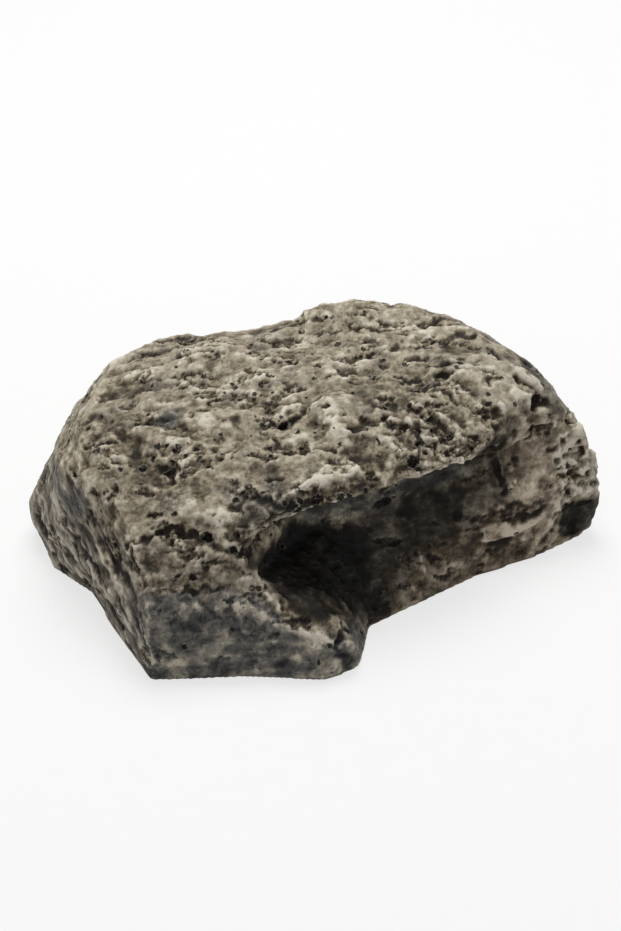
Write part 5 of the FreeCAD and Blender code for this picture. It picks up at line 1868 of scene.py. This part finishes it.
@dataclass
class Studio:
    """A pale floor, soft lamps and the camera."""

    azimuth: float = -24.0
    elevation: float = 36.0
    distance: float = 340.0
    target: Point = (-0.34, 3.05, 13.0)
    pixels_per_mm: float = 6.62
    picture_height: int = 931
    sensor: float = 36.0
    clip: Span = (10.0, 10000.0)
    lamps: tuple[Lamp, ...] = (Lamp("key", (60, 160, 420), 260, 0.72),
                               Lamp("fill", (-260, -300, 260), 300, 0.08))
    world_level: float = 0.30
    floor_reach: float = 2000.0
    floor_dark: Color = (246, 246, 245)
    floor_pale: Color = (252, 252, 251)
    floor_fibre: Grain = Grain(3.0)
    floor_roughness: float = 0.9
    floor_specular: float = 0.1
    floor_white: float = 0.7

    def build(self) -> None:
        """Make the camera, the lamps, the world and the floor."""
        self.camera()
        for lamp in self.lamps:
            lamp.build()
        self.world()
        self.floor()

    def camera(self) -> None:
        """Make the camera and set it as the scene's."""
        turn, rise = math.radians(self.azimuth), math.radians(self.elevation)
        back = Vector((math.sin(turn) * math.cos(rise), -math.cos(turn) * math.cos(rise),
                       math.sin(rise)))
        data = bpy.data.cameras.new("camera")
        data.sensor_width = self.sensor
        data.lens = self.pixels_per_mm * self.distance * self.sensor / self.picture_height
        data.clip_start, data.clip_end = (reach * MM for reach in self.clip)
        camera = add_object("camera", data)
        camera.location = (Vector(self.target) + back * self.distance) * MM
        camera.rotation_euler = back.to_track_quat("Z", "Y").to_euler()
        bpy.context.scene.camera = camera

    def world(self) -> None:
        """Light everything evenly, and show plain white behind."""
        world = bpy.data.worlds.new("studio")
        world.use_nodes = True
        world.node_tree.nodes.clear()
        nodes = Nodes(world.node_tree)
        ray = nodes.add("ShaderNodeLightPath")
        seen = nodes.math("ADD", ray.outputs["Is Camera Ray"], ray.outputs["Is Glossy Ray"], clamp=True)
        strength = nodes.remap(seen, 0.0, 1.0, self.world_level, 1.0)
        light = nodes.add("ShaderNodeBackground", {"Color": WHITE, "Strength": strength})
        nodes.add("ShaderNodeOutputWorld", {"Surface": light.outputs[0]})
        bpy.context.scene.world = world

    def floor(self) -> None:
        """Make the floor, white to the camera, with a share of the rock's soft shadow on it."""
        bm = bmesh.new()
        bmesh.ops.create_grid(bm, x_segments=1, y_segments=1, size=self.floor_reach * MM)
        floor = add_object("floor", mesh_from(bm, "floor"))
        material, nodes, shader = new_material("white_paper")
        fibre = nodes.noise(nodes.place(), self.floor_fibre)
        color = nodes.mix(fibre, linear(*self.floor_dark), linear(*self.floor_pale))
        nodes.feed(shader.inputs["Base Color"], color)
        shader.inputs["Roughness"].default_value = self.floor_roughness
        shader.inputs["Specular IOR Level"].default_value = self.floor_specular
        white = nodes.add("ShaderNodeEmission", {"Color": WHITE, "Strength": 1.0})
        ray = nodes.add("ShaderNodeLightPath")
        share = nodes.math("MULTIPLY", ray.outputs["Is Camera Ray"], self.floor_white)
        mixed = nodes.add("ShaderNodeMixShader", {0: share, 1: shader.outputs[0], 2: white.outputs[0]})
        output = next(node for node in nodes.tree.nodes if node.type == "OUTPUT_MATERIAL")
        nodes.feed(output.inputs["Surface"], mixed.outputs[0])
        floor.data.materials.append(material)


# ------------------------------------------------------------------ build


def dress(node: bpy.types.Object, material: bpy.types.Material) -> None:
    """Give an object one material in place of what it has."""
    node.data.materials.clear()
    node.data.materials.append(material)


def main() -> None:
    """Build the rock's looks and report each piece."""
    logging.basicConfig(level=logging.INFO, format="%(name)s: %(message)s")
    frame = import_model()
    bpy.context.scene.view_settings.view_transform = "Standard"

    Studio().build()
    rock = Casting().build(frame, PaintedStone().material(), RawResin().material())
    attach(rock, "rock")
    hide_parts("rock_shell")
    LOG.info("cast_rock: %d faces", len(rock.data.polygons))

    finishes = {
        "key_tub": Moulding("black_abs", (38, 38, 40)),
        "slide_cover": Moulding("black_abs_cover", (44, 44, 46), 0.42),
        "tub_adhesive": Epoxy(),
        "cover_seal": Foam("seal_foam", (30, 30, 31)),
        "key_pad": Foam("pad_foam", (52, 52, 55), 0.8),
    }
    for name, finish in finishes.items():
        dress(frame["nodes"][name], finish.material())
        LOG.info("%s: %s", name, finish.name)


if __name__ == "__main__":
    main()
